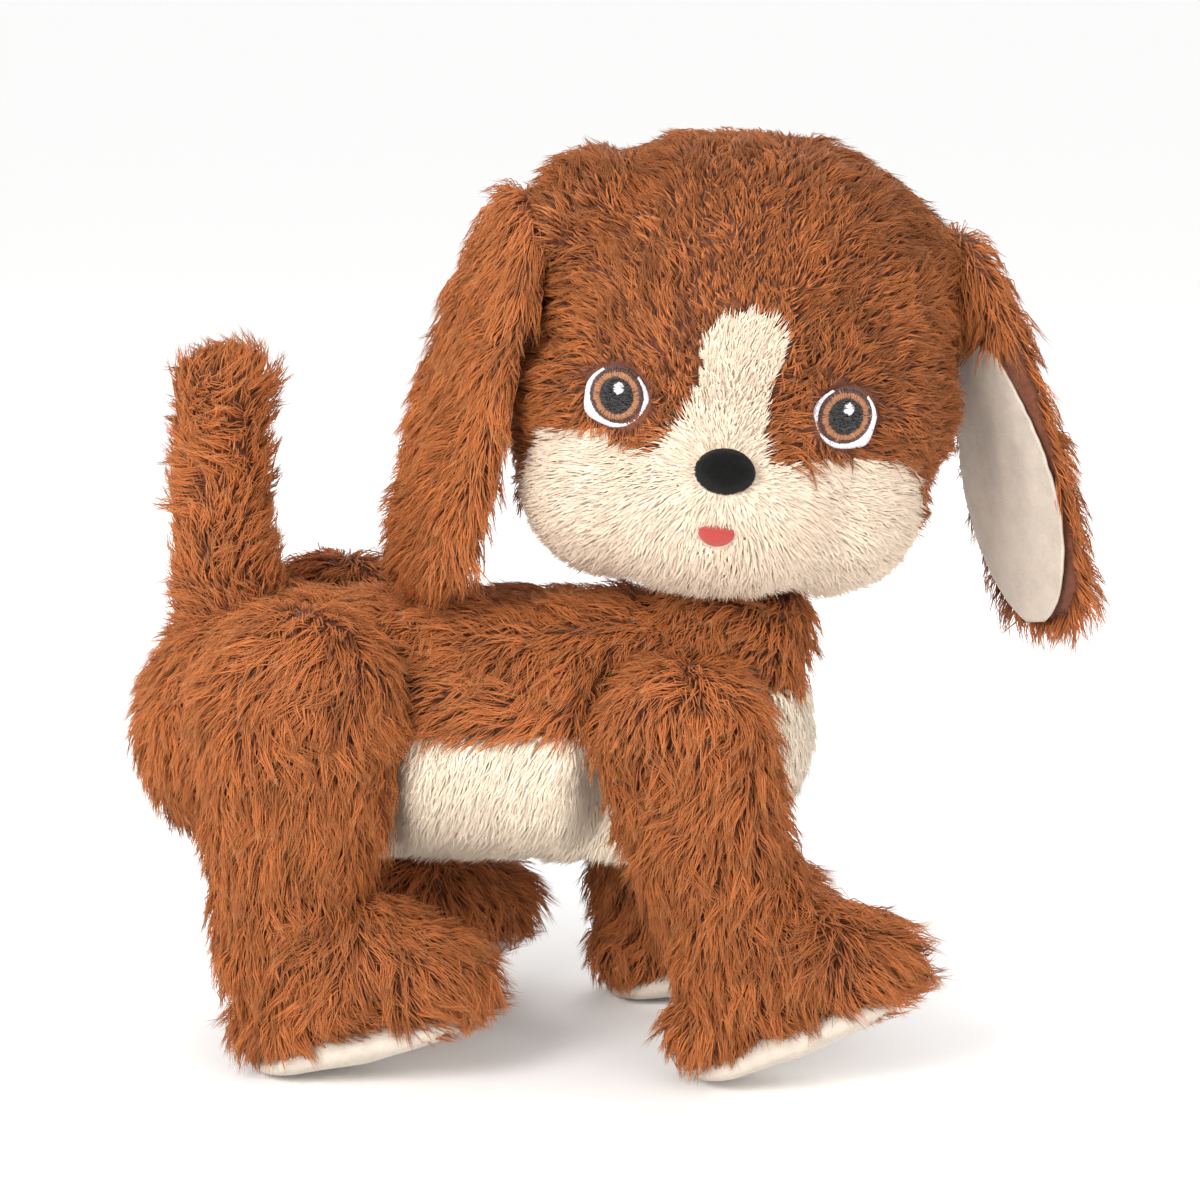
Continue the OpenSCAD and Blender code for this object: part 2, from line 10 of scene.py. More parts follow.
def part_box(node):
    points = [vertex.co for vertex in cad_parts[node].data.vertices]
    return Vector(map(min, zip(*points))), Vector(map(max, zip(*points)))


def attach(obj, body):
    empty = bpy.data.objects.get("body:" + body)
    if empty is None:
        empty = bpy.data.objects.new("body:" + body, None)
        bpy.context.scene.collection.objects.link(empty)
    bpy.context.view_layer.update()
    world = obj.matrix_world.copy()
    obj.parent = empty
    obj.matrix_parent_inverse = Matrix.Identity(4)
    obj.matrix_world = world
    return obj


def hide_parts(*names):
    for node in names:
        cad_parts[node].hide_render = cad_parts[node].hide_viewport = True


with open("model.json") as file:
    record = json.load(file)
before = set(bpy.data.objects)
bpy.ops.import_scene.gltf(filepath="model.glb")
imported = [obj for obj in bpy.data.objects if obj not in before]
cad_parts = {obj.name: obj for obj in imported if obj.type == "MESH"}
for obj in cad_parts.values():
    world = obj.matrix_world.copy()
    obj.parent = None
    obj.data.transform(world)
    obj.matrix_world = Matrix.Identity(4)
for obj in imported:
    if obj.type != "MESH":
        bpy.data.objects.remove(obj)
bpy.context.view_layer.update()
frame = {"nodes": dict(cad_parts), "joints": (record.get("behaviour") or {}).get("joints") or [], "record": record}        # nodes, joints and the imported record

MM = 0.001
JOINTS = {joint["name"]: joint for joint in frame["joints"]}
UV_NAME = "OFBake"       # u is a strand's tone, v runs from its root to its tip

# ---------------- places taken from the frame


def joint_place(name):
    return np.array(JOINTS[name]["pos_m"], float)


def box_middle(node):
    low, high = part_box(node)
    return np.array((low + high) / 2)


def local_in(inner, outer, point):
    """A point of one local frame in another's millimetres."""
    return outer.back(inner.out(point))


def unit(v):
    v = np.asarray(v, float)
    return v / np.maximum(np.linalg.norm(v, axis=-1, keepdims=True), 1e-12)


def grows(x, middle, width):
    """From 0 well below middle to 1 well above it."""
    return 1 / (1 + np.exp((middle - x) / width))


def fades(x, middle, width):
    """From 1 well below middle to 0 well above it."""
    return grows(x, middle, -width)


def turned(rx, ry, rz):
    """Rotation matrix: about X, then Y, then Z, in degrees."""
    x, y, z = (Matrix.Rotation(math.radians(a), 3, k) for a, k in ((rx, "X"), (ry, "Y"), (rz, "Z")))
    return np.array(z @ y @ x)


class Local:
    """A local frame in millimetres, with an origin in metres and a rotation."""

    def __init__(self, origin, rotation=None):
        self.origin = np.asarray(origin, float)
        self.rotation = np.eye(3) if rotation is None else np.asarray(rotation, float)

    def out(self, points):
        return self.origin + (np.asarray(points, float) * MM) @ self.rotation.T

    def back(self, points):
        return ((np.asarray(points, float) - self.origin) @ self.rotation) / MM

    def turn(self, directions):
        return np.asarray(directions, float) @ self.rotation.T


SHOULDER = joint_place("front_stride")
HIP = joint_place("rear_stride")
NECK = joint_place("head_turn")
LEGS = {"front_right": -1, "front_left": 1, "rear_right": -1, "rear_left": 1}
EARS = {"right": -1, "left": 1}

nod_axis = JOINTS["head_nod"]["axis"]
HEAD_YAW = math.degrees(math.atan2(-nod_axis[0], nod_axis[1]))
skull_low = np.minimum(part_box("skull_front")[0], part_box("skull_back")[0])
skull_high = np.maximum(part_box("skull_front")[1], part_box("skull_back")[1])
SKULL_R = (skull_high[0] - skull_low[0]) / 2
HEAD_MIDDLE = np.array([
    (skull_low[0] + skull_high[0]) / 2,
    (skull_low[1] + skull_high[1]) / 2,
    skull_high[2] - SKULL_R,
])
eye_gap = box_middle("eye_left") - box_middle("eye_right")
FACE_ROLL = math.degrees(math.atan2(eye_gap[2], np.linalg.norm(eye_gap[:2])))
FACE = Local(HEAD_MIDDLE, turned(0, 0, HEAD_YAW) @ turned(FACE_ROLL, 0, 0))
HEAD = Local(HEAD_MIDDLE, turned(0, 0, HEAD_YAW))
EAR_LENGTH = 119
EAR_ROOT_X = {"right": 12, "left": -8}   # the head leans, so the roots are neither level nor in line
EAR_ROOT_Y = {"right": -60.5, "left": 63.5}
EAR_ROOT_Z = {"right": 43, "left": 29}
EAR_TILT = 14
EAR_TURN = 34
EAR_BULGE = 1.5
EAR_EXTRA = {"right": 0, "left": 4}      # how much lower each tip hangs
EAR_RIM = {"right": 4.8, "left": 5.7}    # the pile starts this far from the lining
LINING_TOP = 24
LINING_LENGTH = 92

# ---------------- camera, light and floor


def put(name, data):
    """A new object in the scene."""
    made = bpy.data.objects.new(name, data)
    bpy.context.scene.collection.objects.link(made)
    return made


def aim(thing, target, azimuth, elevation, distance):
    """Puts a camera or a light at a distance from its target, looking at it."""
    a, e = math.radians(azimuth), math.radians(elevation)
    towards = Vector((math.sin(a) * math.cos(e), -math.cos(a) * math.cos(e), math.sin(e)))
    thing.location = Vector(target) + towards * distance
    thing.rotation_euler = towards.to_track_quat("Z", "Y").to_euler()


def make_camera():
    distance = 1.150
    frame_width = 0.372
    data = bpy.data.cameras.new("camera")
    camera = put("camera", data)
    aim(camera, (-0.006, 0, 0.140), 4, 11, distance)
    data.sensor_width = 36
    data.lens = data.sensor_width * distance / frame_width
    data.clip_start = 0.01
    bpy.context.scene.camera = camera


def area_light(name, azimuth, elevation, distance, size, power, colour=(1, 1, 1)):
    data = bpy.data.lights.new(name, "AREA")
    data.shape = "DISK"
    data.size = size
    data.energy = power
    data.color = colour
    aim(put(name, data), (0, 0, 0.14), azimuth, elevation, distance)


def make_light():
    area_light("key", -28, 28, 1.3, 0.6, 13, (1, 0.985, 0.965))
    area_light("fill", 40, 8, 1.6, 1.1, 8, (1, 0.99, 0.98))
    area_light("back", 170, 40, 1.5, 0.9, 5)
    world = bpy.data.worlds.new("studio")
    world.use_nodes = True
    background = world.node_tree.nodes["Background"]
    background.inputs["Color"].default_value = (1, 1, 1, 1)
    background.inputs["Strength"].default_value = 1.0
    bpy.context.scene.world = world
    bpy.context.scene.view_settings.view_transform = "Standard"


def make_floor():
    mesh = bpy.data.meshes.new("floor")
    r = 30.0
    mesh.from_pydata([(-r, -r, 0), (r, -r, 0), (r, r, 0), (-r, r, 0)], [], [(0, 1, 2, 3)])
    floor = put("floor", mesh)
    material = bpy.data.materials.new("floor")
    material.use_nodes = True
    shader = material.node_tree.nodes["Principled BSDF"]
    shader.inputs["Base Color"].default_value = (0.97, 0.97, 0.965, 1)
    shader.inputs["Roughness"].default_value = 0.8
    mesh.materials.append(material)


# ---------------- node materials


def srgb(r, g, b):
    def linear(c):
        c /= 255
        return c / 12.92 if c <= 0.04045 else ((c + 0.055) / 1.055) ** 2.4
    return (linear(r), linear(g), linear(b), 1)


def darker(colour, share):
    return tuple(c * share for c in colour[:3]) + (1,)


class Paint:
    """A node material under construction."""

    def __init__(self, name, roughness=0.6, **fixed):
        self.material = bpy.data.materials.new(name)
        self.material.use_nodes = True
        self.tree = self.material.node_tree
        self.shader = self.tree.nodes["Principled BSDF"]
        self.set("Roughness", roughness)
        for key, value in fixed.items():
            self.set(key.replace("_", " "), value)

    def set(self, socket, value):
        self.shader.inputs[socket].default_value = value

    def node(self, kind, **values):
        made = self.tree.nodes.new(kind)
        for key, value in values.items():
            if hasattr(made, key):
                setattr(made, key, value)
            else:
                made.inputs[key.replace("_", " ").capitalize()].default_value = value
        return made

    def link(self, a, b):
        self.tree.links.new(a, b)

    def ramp(self, factor, stops):
        made = self.tree.nodes.new("ShaderNodeValToRGB")
        elements = made.color_ramp.elements
        while len(elements) < len(stops):
            elements.new(0.5)
        for element, (place, colour) in zip(elements, stops):
            element.position = place
            element.color = colour
        self.link(factor, made.inputs["Fac"])
        return made.outputs["Color"]

    def grey_ramp(self, factor, stops):
        return self.ramp(factor, [(place, (g, g, g, 1)) for place, g in stops])

    def mix(self, kind, factor, a, b):
        made = self.tree.nodes.new("ShaderNodeMix")
        made.data_type = "RGBA"
        made.blend_type = kind
        made.inputs["Factor"].default_value = factor
        self.link(a, made.inputs["A"])
        self.link(b, made.inputs["B"])
        return made.outputs["Result"]

    def noise(self, scale, detail=4, roughness=0.6):
        place = self.tree.nodes.new("ShaderNodeTexCoord")
        made = self.node("ShaderNodeTexNoise", scale=scale, detail=detail, roughness=roughness)
        self.link(place.outputs["Object"], made.inputs["Vector"])
        return made.outputs["Fac"]

    def bump(self, height, strength, distance):
        made = self.node("ShaderNodeBump", strength=strength, distance=distance)
        self.link(height, made.inputs["Height"])
        self.link(made.outputs["Normal"], self.shader.inputs["Normal"])

    def colour(self, output):
        self.link(output, self.shader.inputs["Base Color"])

    def mottle(self, noise, dark, colour, low=0.3):
        self.colour(self.ramp(noise, [(low, dark), (0.7, colour)]))

    def uneven_gloss(self, noise, least, most):
        self.link(self.grey_ramp(noise, [(0.3, least), (0.7, most)]), self.shader.inputs["Roughness"])


def pile_material(name, root, body, tip, shade):
    """Plush pile: colour running from the root colour through the body colour to the tip colour. On the brown
    pile the dark root is painted shade between the strands and the light tip a painted highlight. The darkest
    strands have their colour multiplied by shade."""
    paint = Paint(name, roughness=0.62, Sheen_Weight=0.35, Sheen_Roughness=0.45, Specular_IOR_Level=0.25)
    paint.set("Sheen Tint", body)
    uv = paint.tree.nodes.new("ShaderNodeUVMap")
    uv.uv_map = UV_NAME
    split = paint.tree.nodes.new("ShaderNodeSeparateXYZ")
    paint.link(uv.outputs["UV"], split.inputs["Vector"])
    along = paint.ramp(split.outputs["Y"], [(0.0, root), (0.42, body), (0.8, body), (1.0, tip)])
    tone = paint.grey_ramp(split.outputs["X"], [(0.0, shade), (0.6, 0.3 * shade + 0.7), (1.0, 1.0)])
    paint.colour(paint.mix("MULTIPLY", 1.0, along, tone))
    return paint.material


def backing_material(name, colour):
    """The knitted backing under a pile."""
    paint = Paint(name, roughness=0.85, Sheen_Weight=0.2)
    paint.mottle(paint.noise(420, 5), darker(colour, 0.55), colour)
    paint.bump(paint.noise(900, 2), 0.6, 0.0006)
    return paint.material


def satin_material(name, colour):
    """Short-pile satin velour: fine crushed pile with a soft sheen."""
    paint = Paint(name, roughness=0.45, Sheen_Weight=0.25, Sheen_Roughness=0.35, Specular_IOR_Level=0.4)
    paint.set("Sheen Tint", (1, 0.97, 0.94, 1))
    crush = paint.ramp(paint.noise(140, 6, 0.7), [(0.35, darker(colour, 0.84)), (0.65, colour)])
    pile = paint.grey_ramp(paint.noise(2600, 2), [(0.3, 0.86), (0.7, 1.0)])
    paint.colour(paint.mix("MULTIPLY", 1.0, crush, pile))
    paint.bump(paint.noise(1700, 3, 0.7), 0.5, 0.0005)
    return paint.material


def thread_material(name, colour):
    """Embroidery thread: a soft gloss, with a slow change of tone between stitches."""
    paint = Paint(name, roughness=0.38, Sheen_Weight=0.3, Specular_IOR_Level=0.5)
    paint.mottle(paint.noise(1500, 3), darker(colour, 0.72), colour)
    paint.bump(paint.noise(4000, 2), 0.4, 0.0002)
    return paint.material


def felt_material(name, colour, dark, scale, sheen):
    """Felt or flock: matt fibres, with a sheen at the edges."""
    paint = Paint(name, roughness=0.9, Sheen_Weight=sheen, Sheen_Roughness=0.5, Specular_IOR_Level=0.15)
    paint.mottle(paint.noise(scale, 5, 0.7), dark, colour)
    paint.bump(paint.noise(scale * 2, 3, 0.7), 0.8, 0.0005)
    return paint.material


def plastic_material(name, colour, roughness):
    """Moulded plastic: a spark-eroded texture, with faint changes of tone and gloss."""
    paint = Paint(name, roughness=roughness)
    paint.mottle(paint.noise(60, 4), darker(colour, 0.86), colour, low=0.35)
    paint.uneven_gloss(paint.noise(300, 3), roughness - 0.08, roughness + 0.1)
    paint.bump(paint.noise(2500, 2), 0.25, 0.0002)
    return paint.material


def metal_material(name, colour, roughness):
    """Turned or drawn metal, with fine scratches and dull spots."""
    paint = Paint(name, roughness=roughness, Metallic=1.0)
    paint.mottle(paint.noise(500, 5), darker(colour, 0.75), colour)
    paint.uneven_gloss(paint.noise(1800, 4), roughness - 0.1, roughness + 0.15)
    paint.bump(paint.noise(5000, 2), 0.2, 0.0001)
    return paint.material


BROWN = srgb(190, 110, 58)
# belly cream: the same cream as the face, made lighter as painted light against the shade under the body
CREAM = srgb(250, 232, 208)
# face cream: the same cream as the belly, made darker as painted shade where the key light falls on the face
FACE_CREAM_PAINTED_SHADE = srgb(231, 209, 187)
SATIN = srgb(212, 199, 184)

# ---------------- soft forms


def new_object(name, mesh, body, material):
    made = put(name, mesh)
    mesh.shade_smooth()
    mesh.materials.append(material)
    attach(made, body)
    return made


def ball():
    """Vertices and faces of a unit ball."""
    segments, rings = 20, 12
    points = [(0, 0, 1)]
    for j in range(1, rings):
        for i in range(segments):
            p, a = math.pi * j / rings, 2 * math.pi * i / segments
            points.append((math.sin(p) * math.cos(a), math.sin(p) * math.sin(a), math.cos(p)))
    points.append((0, 0, -1))
    last = len(points) - 1
    faces = []
    for i in range(segments):
        n = (i + 1) % segments
        faces.append((0, 1 + i, 1 + n))
        for j in range(rings - 2):
            a, b = 1 + j * segments, 1 + (j + 1) * segments
            faces.append((a + i, b + i, b + n, a + n))
        a = 1 + (rings - 2) * segments
        faces.append((last, a + n, a + i))
    return np.array(points, float), faces


def between(blobs, steps):
    """Blobs (middle, half sizes) interpolated along a chain."""
    made = []
    for (p, a), (q, b) in zip(blobs, blobs[1:]):
        for t in np.linspace(0, 1, steps, endpoint=False):
            made.append((np.array(p) * (1 - t) + np.array(q) * t, np.array(a) * (1 - t) + np.array(b) * t))
    made.append((np.array(blobs[-1][0], float), np.array(blobs[-1][1], float)))
    return made


def applied(holder, name):
    """The mesh that an object's modifiers make. The object and its own mesh are removed."""
    own = holder.data
    final = bpy.data.meshes.new_from_object(holder.evaluated_get(bpy.context.evaluated_depsgraph_get()))
    final.name = name
    bpy.data.objects.remove(holder)
    bpy.data.meshes.remove(own)
    return final


def soft_mesh(name, local, blobs, voxel=2.6, smoothing=8, shape=None):
    """One smooth closed mesh around ellipsoids given in millimetres in a local frame."""
    unit_points, unit_faces = ball()
    points, faces = [], []
    for middle, half in blobs:
        faces += [tuple(i + len(points) * len(unit_points) for i in f) for f in unit_faces]
        points.append(local.out(unit_points * np.array(half) + np.array(middle)))
    mesh = bpy.data.meshes.new(name)
    mesh.from_pydata(np.concatenate(points).tolist(), [], faces)
    made = put(name, mesh)
    remesh = made.modifiers.new("remesh", "REMESH")
    remesh.mode = "VOXEL"
    remesh.voxel_size = voxel * MM
    relax = made.modifiers.new("relax", "SMOOTH")
    relax.factor = 0.6
    relax.iterations = smoothing
    final = applied(made, name)
    if shape is not None:
        co = of_vertices(final, "co")
        final.vertices.foreach_set("co", shape(co).astype(np.float32).ravel())
        final.update()
    return final


def of_vertices(mesh, what):
    """The places ("co") or normals ("normal") of a mesh's vertices."""
    values = np.zeros(len(mesh.vertices) * 3, np.float32)
    mesh.vertices.foreach_get(what, values)
    return values.reshape(-1, 3).astype(float)


def part_of_mesh(mesh, name, keep, thickness):
    """A copy of the faces whose middles pass keep, given a thickness inwards so that it is a closed shell."""
    copy = bpy.data.meshes.new(name)
    co = of_vertices(mesh, "co")
    faces = [tuple(p.vertices) for p in mesh.polygons]
    middles = np.array([co[list(f)].mean(0) for f in faces])
    chosen = [f for f, k in zip(faces, keep(middles)) if k]
    used = sorted({i for f in chosen for i in f})
    number = {old: new for new, old in enumerate(used)}
    copy.from_pydata(co[used].tolist(), [], [tuple(number[i] for i in f) for f in chosen])
    holder = put(name, copy)
    solid = holder.modifiers.new("solid", "SOLIDIFY")
    solid.thickness = thickness * MM
    solid.offset = -1
    return applied(holder, name)


# ---------------- pile


def hash_noise(points, scale, seed):
    """Smooth value noise from -1 to 1 at points in metres, with features of about scale millimetres."""
    p = points / (scale * MM) + seed * 17.31
    cell = np.floor(p).astype(np.int64)
    f = p - cell
    f = f * f * (3 - 2 * f)

    def value(i, j, k):
        n = (cell[:, 0] + i) * 73856093 ^ (cell[:, 1] + j) * 19349663
        n = n ^ (cell[:, 2] + k) * 83492791 ^ seed * 2654435
        n = (n ^ (n >> 13)) * 1274126177 & 0x7FFFFFFF
        n = (n ^ (n >> 11)) * 668265263 & 0x7FFFFFFF
        return n / 0x3FFFFFFF - 1.0

    total = np.zeros(len(points))
    for i in (0, 1):
        for j in (0, 1):
            for k in (0, 1):
                weight = ((f[:, 0] if i else 1 - f[:, 0]) * (f[:, 1] if j else 1 - f[:, 1])
                          * (f[:, 2] if k else 1 - f[:, 2]))
                total += weight * value(i, j, k)
    return total


def scatter(mesh, per_cm2, rng):
    """Random places on a mesh and the smooth normals there."""
    mesh.calc_loop_triangles()
    tri = np.zeros(len(mesh.loop_triangles) * 3, np.int32)
    mesh.loop_triangles.foreach_get("vertices", tri)
    tri = tri.reshape(-1, 3)
    co = of_vertices(mesh, "co")
    a, b, c = (co[tri[:, i]] for i in range(3))
    area = np.linalg.norm(np.cross(b - a, c - a), axis=1) / 2
    count = int(area.sum() * 1e4 * per_cm2)
    total = np.cumsum(area)
    chosen = np.searchsorted(total, rng.random(count) * total[-1])
    u, v = rng.random(count), rng.random(count)
    over = u + v > 1
    u[over], v[over] = 1 - u[over], 1 - v[over]
    w = 1 - u - v
    t = tri[chosen]

    def blend(values):
        return values[t[:, 0]] * w[:, None] + values[t[:, 1]] * u[:, None] + values[t[:, 2]] * v[:, None]

    return blend(co), unit(blend(of_vertices(mesh, "normal")))


def rotate_about(v, axis, angle):
    c, s = np.cos(angle)[:, None], np.sin(angle)[:, None]
    return v * c + np.cross(axis, v) * s + axis * (axis * v).sum(1, keepdims=True) * (1 - c)


def lock_members(place, size, seed):
    """Groups strands into locks about size millimetres wide: the lock number of each strand."""
    warp = np.stack([hash_noise(place, size * 1.7, seed + i) for i in range(3)], 1) * size * 0.6 * MM
    cell = np.floor((place + warp) / (size * MM)).astype(np.int64)
    _, lock = np.unique(cell, axis=0, return_inverse=True)
    return lock.ravel()


def lock_mean(values, lock, count):
    weight = np.bincount(lock, minlength=count).astype(float)
    return np.stack([np.bincount(lock, values[:, i], count) / weight for i in range(values.shape[1])], 1)


def strand_mesh(name, centre, width, tone, rng, facing=None, softness=0.6):
    """Closed tapered strands with three sides: centre is (strands, rings + 1, 3), the last point the tip.
    Their shading normals lean towards facing, the way light spreads through a dense pile."""
    count, points, _ = centre.shape
    rings = points - 1
    along = unit(np.gradient(centre, axis=1))
    side = unit(np.cross(along, unit(rng.normal(size=(count, 1, 3)))))
    other = np.cross(along, side)
    corner = [(math.cos(a), math.sin(a)) for a in (0, 2 * math.pi / 3, 4 * math.pi / 3)]
    ring = np.stack([centre[:, :rings] + width[:, :rings, None] * (c * side[:, :rings] + s * other[:, :rings])
                     for c, s in corner], 2)
    vertices = np.concatenate([ring.reshape(count, rings * 3, 3), centre[:, -1:]], 1)
    per = rings * 3 + 1
    faces = [(2, 1, 0)]
    for r in range(rings - 1):
        for i in range(3):
            n = (i + 1) % 3
            a, b = r * 3, (r + 1) * 3
            faces += [(a + i, a + n, b + n), (a + i, b + n, b + i)]
    top = (rings - 1) * 3
    faces += [(top + i, top + (i + 1) % 3, per - 1) for i in range(3)]
    faces = np.array(faces)
    index = (np.arange(count)[:, None, None] * per + faces[None]).reshape(-1, 3)
    mesh = bpy.data.meshes.new(name)
    mesh.vertices.add(count * per)
    mesh.vertices.foreach_set("co", vertices.astype(np.float32).ravel())
    mesh.loops.add(index.size)
    mesh.loops.foreach_set("vertex_index", index.astype(np.int32).ravel())
    mesh.polygons.add(len(index))
    mesh.polygons.foreach_set("loop_start", np.arange(0, index.size, 3, dtype=np.int32))
    mesh.update(calc_edges=True)
    v_of = np.append(np.repeat(np.arange(rings) / rings, 3), 1.0)
    u_off = np.append(np.tile([-0.5, 0.0, 0.5], rings), 0.0)
    u_step = 0.012
    u = np.clip(tone[:, None] * (1 - 2 * u_step) + u_step + u_off[None] * u_step, 0, 1)
    uv = np.stack([u, np.broadcast_to(0.004 + v_of * 0.992, u.shape)], 2).reshape(-1, 2)
    layer = mesh.uv_layers.new(name=UV_NAME)
    layer.data.foreach_set("uv", uv[index.ravel()].astype(np.float32).ravel())
    mesh.shade_smooth()
    if facing is not None:
        ring_side = np.stack([c * side[:, :rings] + s * other[:, :rings] for c, s in corner], 2)
        own = np.concatenate([ring_side.reshape(count, rings * 3, 3), along[:, -1:]], 1)
        soft = unit(own * (1 - softness) + facing[:, None] * softness)
        mesh.normals_split_custom_set_from_vertices(soft.reshape(-1, 3).tolist())
    return mesh


@dataclass
class Pile:
    """How a pile grows."""

    density: float          # strands per square centimetre
    length: float           # of a strand, in millimetres
    thickness: float        # of a strand at its root, in millimetres
    lean: float             # from upright, in degrees
    lock: float             # width of a lock, in millimetres
    clump: float            # how far the tips of a lock gather, from 0 to 1
    swirl: float = 25       # how far the brushed direction wanders, in degrees
    ragged: float = 0.18    # how uneven the length is, as a share of it
    softness: float = 0.6   # how far the shading follows the surface under the pile, from 0 to 1
    tone: float = 0.55      # how light a strand is, from 0 to 1


MOST_TRIANGLES = 190000  # in one piece
TUFT = 2.9               # width of a tuft, in widths of a lock
FLOOR_GAP = 0.6          # the pile stays this far above the ground
TAPER = np.array([1.0, 0.75, 0.0])   # thickness of a strand at its root, its middle and its tip


def grow(name, mesh, body, material, pile, flow, seed, where=None, scale=None, keep=None):
    """Grows a pile on a mesh. flow gives the direction that the pile is brushed in, where says which roots
    grow, scale shortens the pile from place to place, and keep moves its points out of where it can't be."""
    rng = np.random.default_rng(seed)
    place, facing = scatter(mesh, pile.density, rng)
    if where is not None:
        kept = where(place)
        place, facing = place[kept], facing[kept]
    lock = lock_members(place, pile.lock, seed)
    locks = lock.max() + 1
    tuft = lock_members(place, pile.lock * TUFT, seed + 50)
    tufts = tuft.max() + 1

    def by_lock():
        return (rng.random(locks) - 0.5)[lock]

    def by_tuft():
        return (rng.random(tufts) - 0.5)[tuft]

    brushed = flow(place, facing)
    brushed = unit(brushed - facing * (brushed * facing).sum(1, keepdims=True))
    swirl = np.radians(pile.swirl)
    angle = (hash_noise(place, 15, seed + 5) * swirl + by_lock() * 0.9 * swirl
             + by_tuft() * 1.1 * swirl + rng.normal(size=len(place)) * 0.08)
    brushed = rotate_about(brushed, facing, angle)
    length = pile.length * MM * (1 + by_lock() * 1.4 * pile.ragged + by_tuft() * 1.2 * pile.ragged
                                 + rng.normal(size=len(place)) * 0.07)
    if scale is not None:
        length = length * scale(place)
    lean = np.radians(pile.lean + by_lock() * 16 + by_tuft() * 22 + rng.normal(size=len(place)) * 4)
    steps = np.linspace(0, 1, len(TAPER))
    rise = np.cos(lean)[:, None] * steps * (1 - 0.33 * steps)
    run = np.sin(lean)[:, None] * steps * (0.72 + 0.38 * steps)
    reach = length[:, None, None] * (facing[:, None] * rise[..., None] + brushed[:, None] * run[..., None])
    reach[..., 2] -= length[:, None] * 0.10 * steps ** 2
    centre = place[:, None] + reach
    gather = pile.clump * steps ** 1.3
    for k in range(1, len(steps)):
        for group, groups, share in ((lock, locks, 1.0), (tuft, tufts, 0.3)):
            tips = lock_mean(centre[:, k], group, groups)[group]
            centre[:, k] += (tips - centre[:, k]) * gather[k] * share
    wave = rng.normal(size=(len(place), 1, 3)) * length[:, None, None] * 0.035
    centre[:, 1:] += wave * np.array([1.0 if k % 2 else -1.0 for k in range(1, len(steps))])[None, :, None]
    low = (FLOOR_GAP + rng.random(len(place)) * 0.8)[:, None] * MM
    centre[..., 2] = np.where(centre[..., 2] < low, low + (centre[..., 2] - low) * 0.02, centre[..., 2])
    if keep is not None:
        centre = keep(centre.reshape(-1, 3)).reshape(centre.shape)
    width = pile.thickness / 2 * MM * (1 + rng.normal(size=len(place)) * 0.15)[:, None] * TAPER
    tone = np.clip(pile.tone + by_lock() * 0.5 + by_tuft() * 0.4 + rng.normal(size=len(place)) * 0.12
                   + hash_noise(place, 30, seed + 9) * 0.16, 0, 1)
    per_strand = 6 * (len(TAPER) - 1) - 2
    count = max(1, math.ceil(len(place) * per_strand / MOST_TRIANGLES))
    order = np.argsort(lock, kind="stable")
    for i, part in enumerate(np.array_split(order, count)):
        piece = f"{name}_{i + 1}"
        mesh = strand_mesh(piece, centre[part], width[part], tone[part], rng, facing[part], pile.softness)
        new_object(piece, mesh, body, material)


# ---------------- head

HEAD_BLOBS = [
    ((-6, 0, 10), (56.5, 64, 55)),
    ((2, 0, -15), (52, 67.5, 45)),
    ((28, 0, -40), (33, 44, 28)),
    ((18, 0, 4), (39, 46, 36)),
    ((14, -30, -40), (34, 30, 27)),
    ((14, 30, -40), (34, 30, 27)),
]
EYE_LOW = 1.2             # the embroidery sits this much below the middle of the CAD patch
NECK_HOLE_R = 32          # the head is open this far round the neck's axis
NECK_HOLE_DEPTH = 30      # below the middle of the head
EYE_SPOTS = {s: FACE.back(box_middle("eye_" + s)) - (0, 0, EYE_LOW) for s in EARS}
NOSE_SPOT = FACE.back(box_middle("nose"))
TONGUE_SPOT = FACE.back(box_middle("tongue"))

# Edge of the cream face panel, seen from in front, in millimetres from the nose: sideways (puppy's left), up
CREAM_FACE = [
    (3, 46), (-5, 44), (-10, 37), (-9, 25), (-12, 16), (-15, 8), (-21, 2), (-28, 4), (-36, 6), (-45, 7),
    (-52, 3), (-56, -5), (-58, -16), (-58, -30), (-50, -42), (-36, -56), (36, -56), (52, -42), (58, -28),
    (58, -12), (55, 0), (48, 4), (40, 5), (28, 5), (19, 3), (12, 2), (11, 9), (10, 17), (11, 25), (14, 33),
    (14, 39), (10, 44),
]


def inside(outline, x, y):
    """Which points lie inside a closed outline."""
    found = np.zeros(len(x), bool)
    for (ax, ay), (bx, by) in zip(outline, outline[1:] + outline[:1]):
        crosses = (ay > y) != (by > y)
        rise = by - ay if by != ay else 1e-9
        found ^= crosses & (x < (bx - ax) * (y - ay) / rise + ax)
    return found


def in_cream_face(place, fuzz):
    """On the cream panel, with an edge as uneven as fuzz says, in millimetres."""
    p = FACE.back(place)
    y = p[:, 1] + hash_noise(place, 5, 71) * fuzz
    z = p[:, 2] + hash_noise(place, 5, 72) * fuzz
    furthest_back = np.where(z < NOSE_SPOT[2] - 14, -16, -2)
    return inside(CREAM_FACE, y - NOSE_SPOT[1], z - NOSE_SPOT[2]) & (p[:, 0] > furthest_back)


def neck_opening(place):
    """The open underside of the head, where the neck comes in."""
    from_axis = np.hypot(place[:, 0] - NECK[0], place[:, 1] - NECK[1])
    return (from_axis < NECK_HOLE_R * MM) & (place[:, 2] < HEAD_MIDDLE[2] - NECK_HOLE_DEPTH * MM)


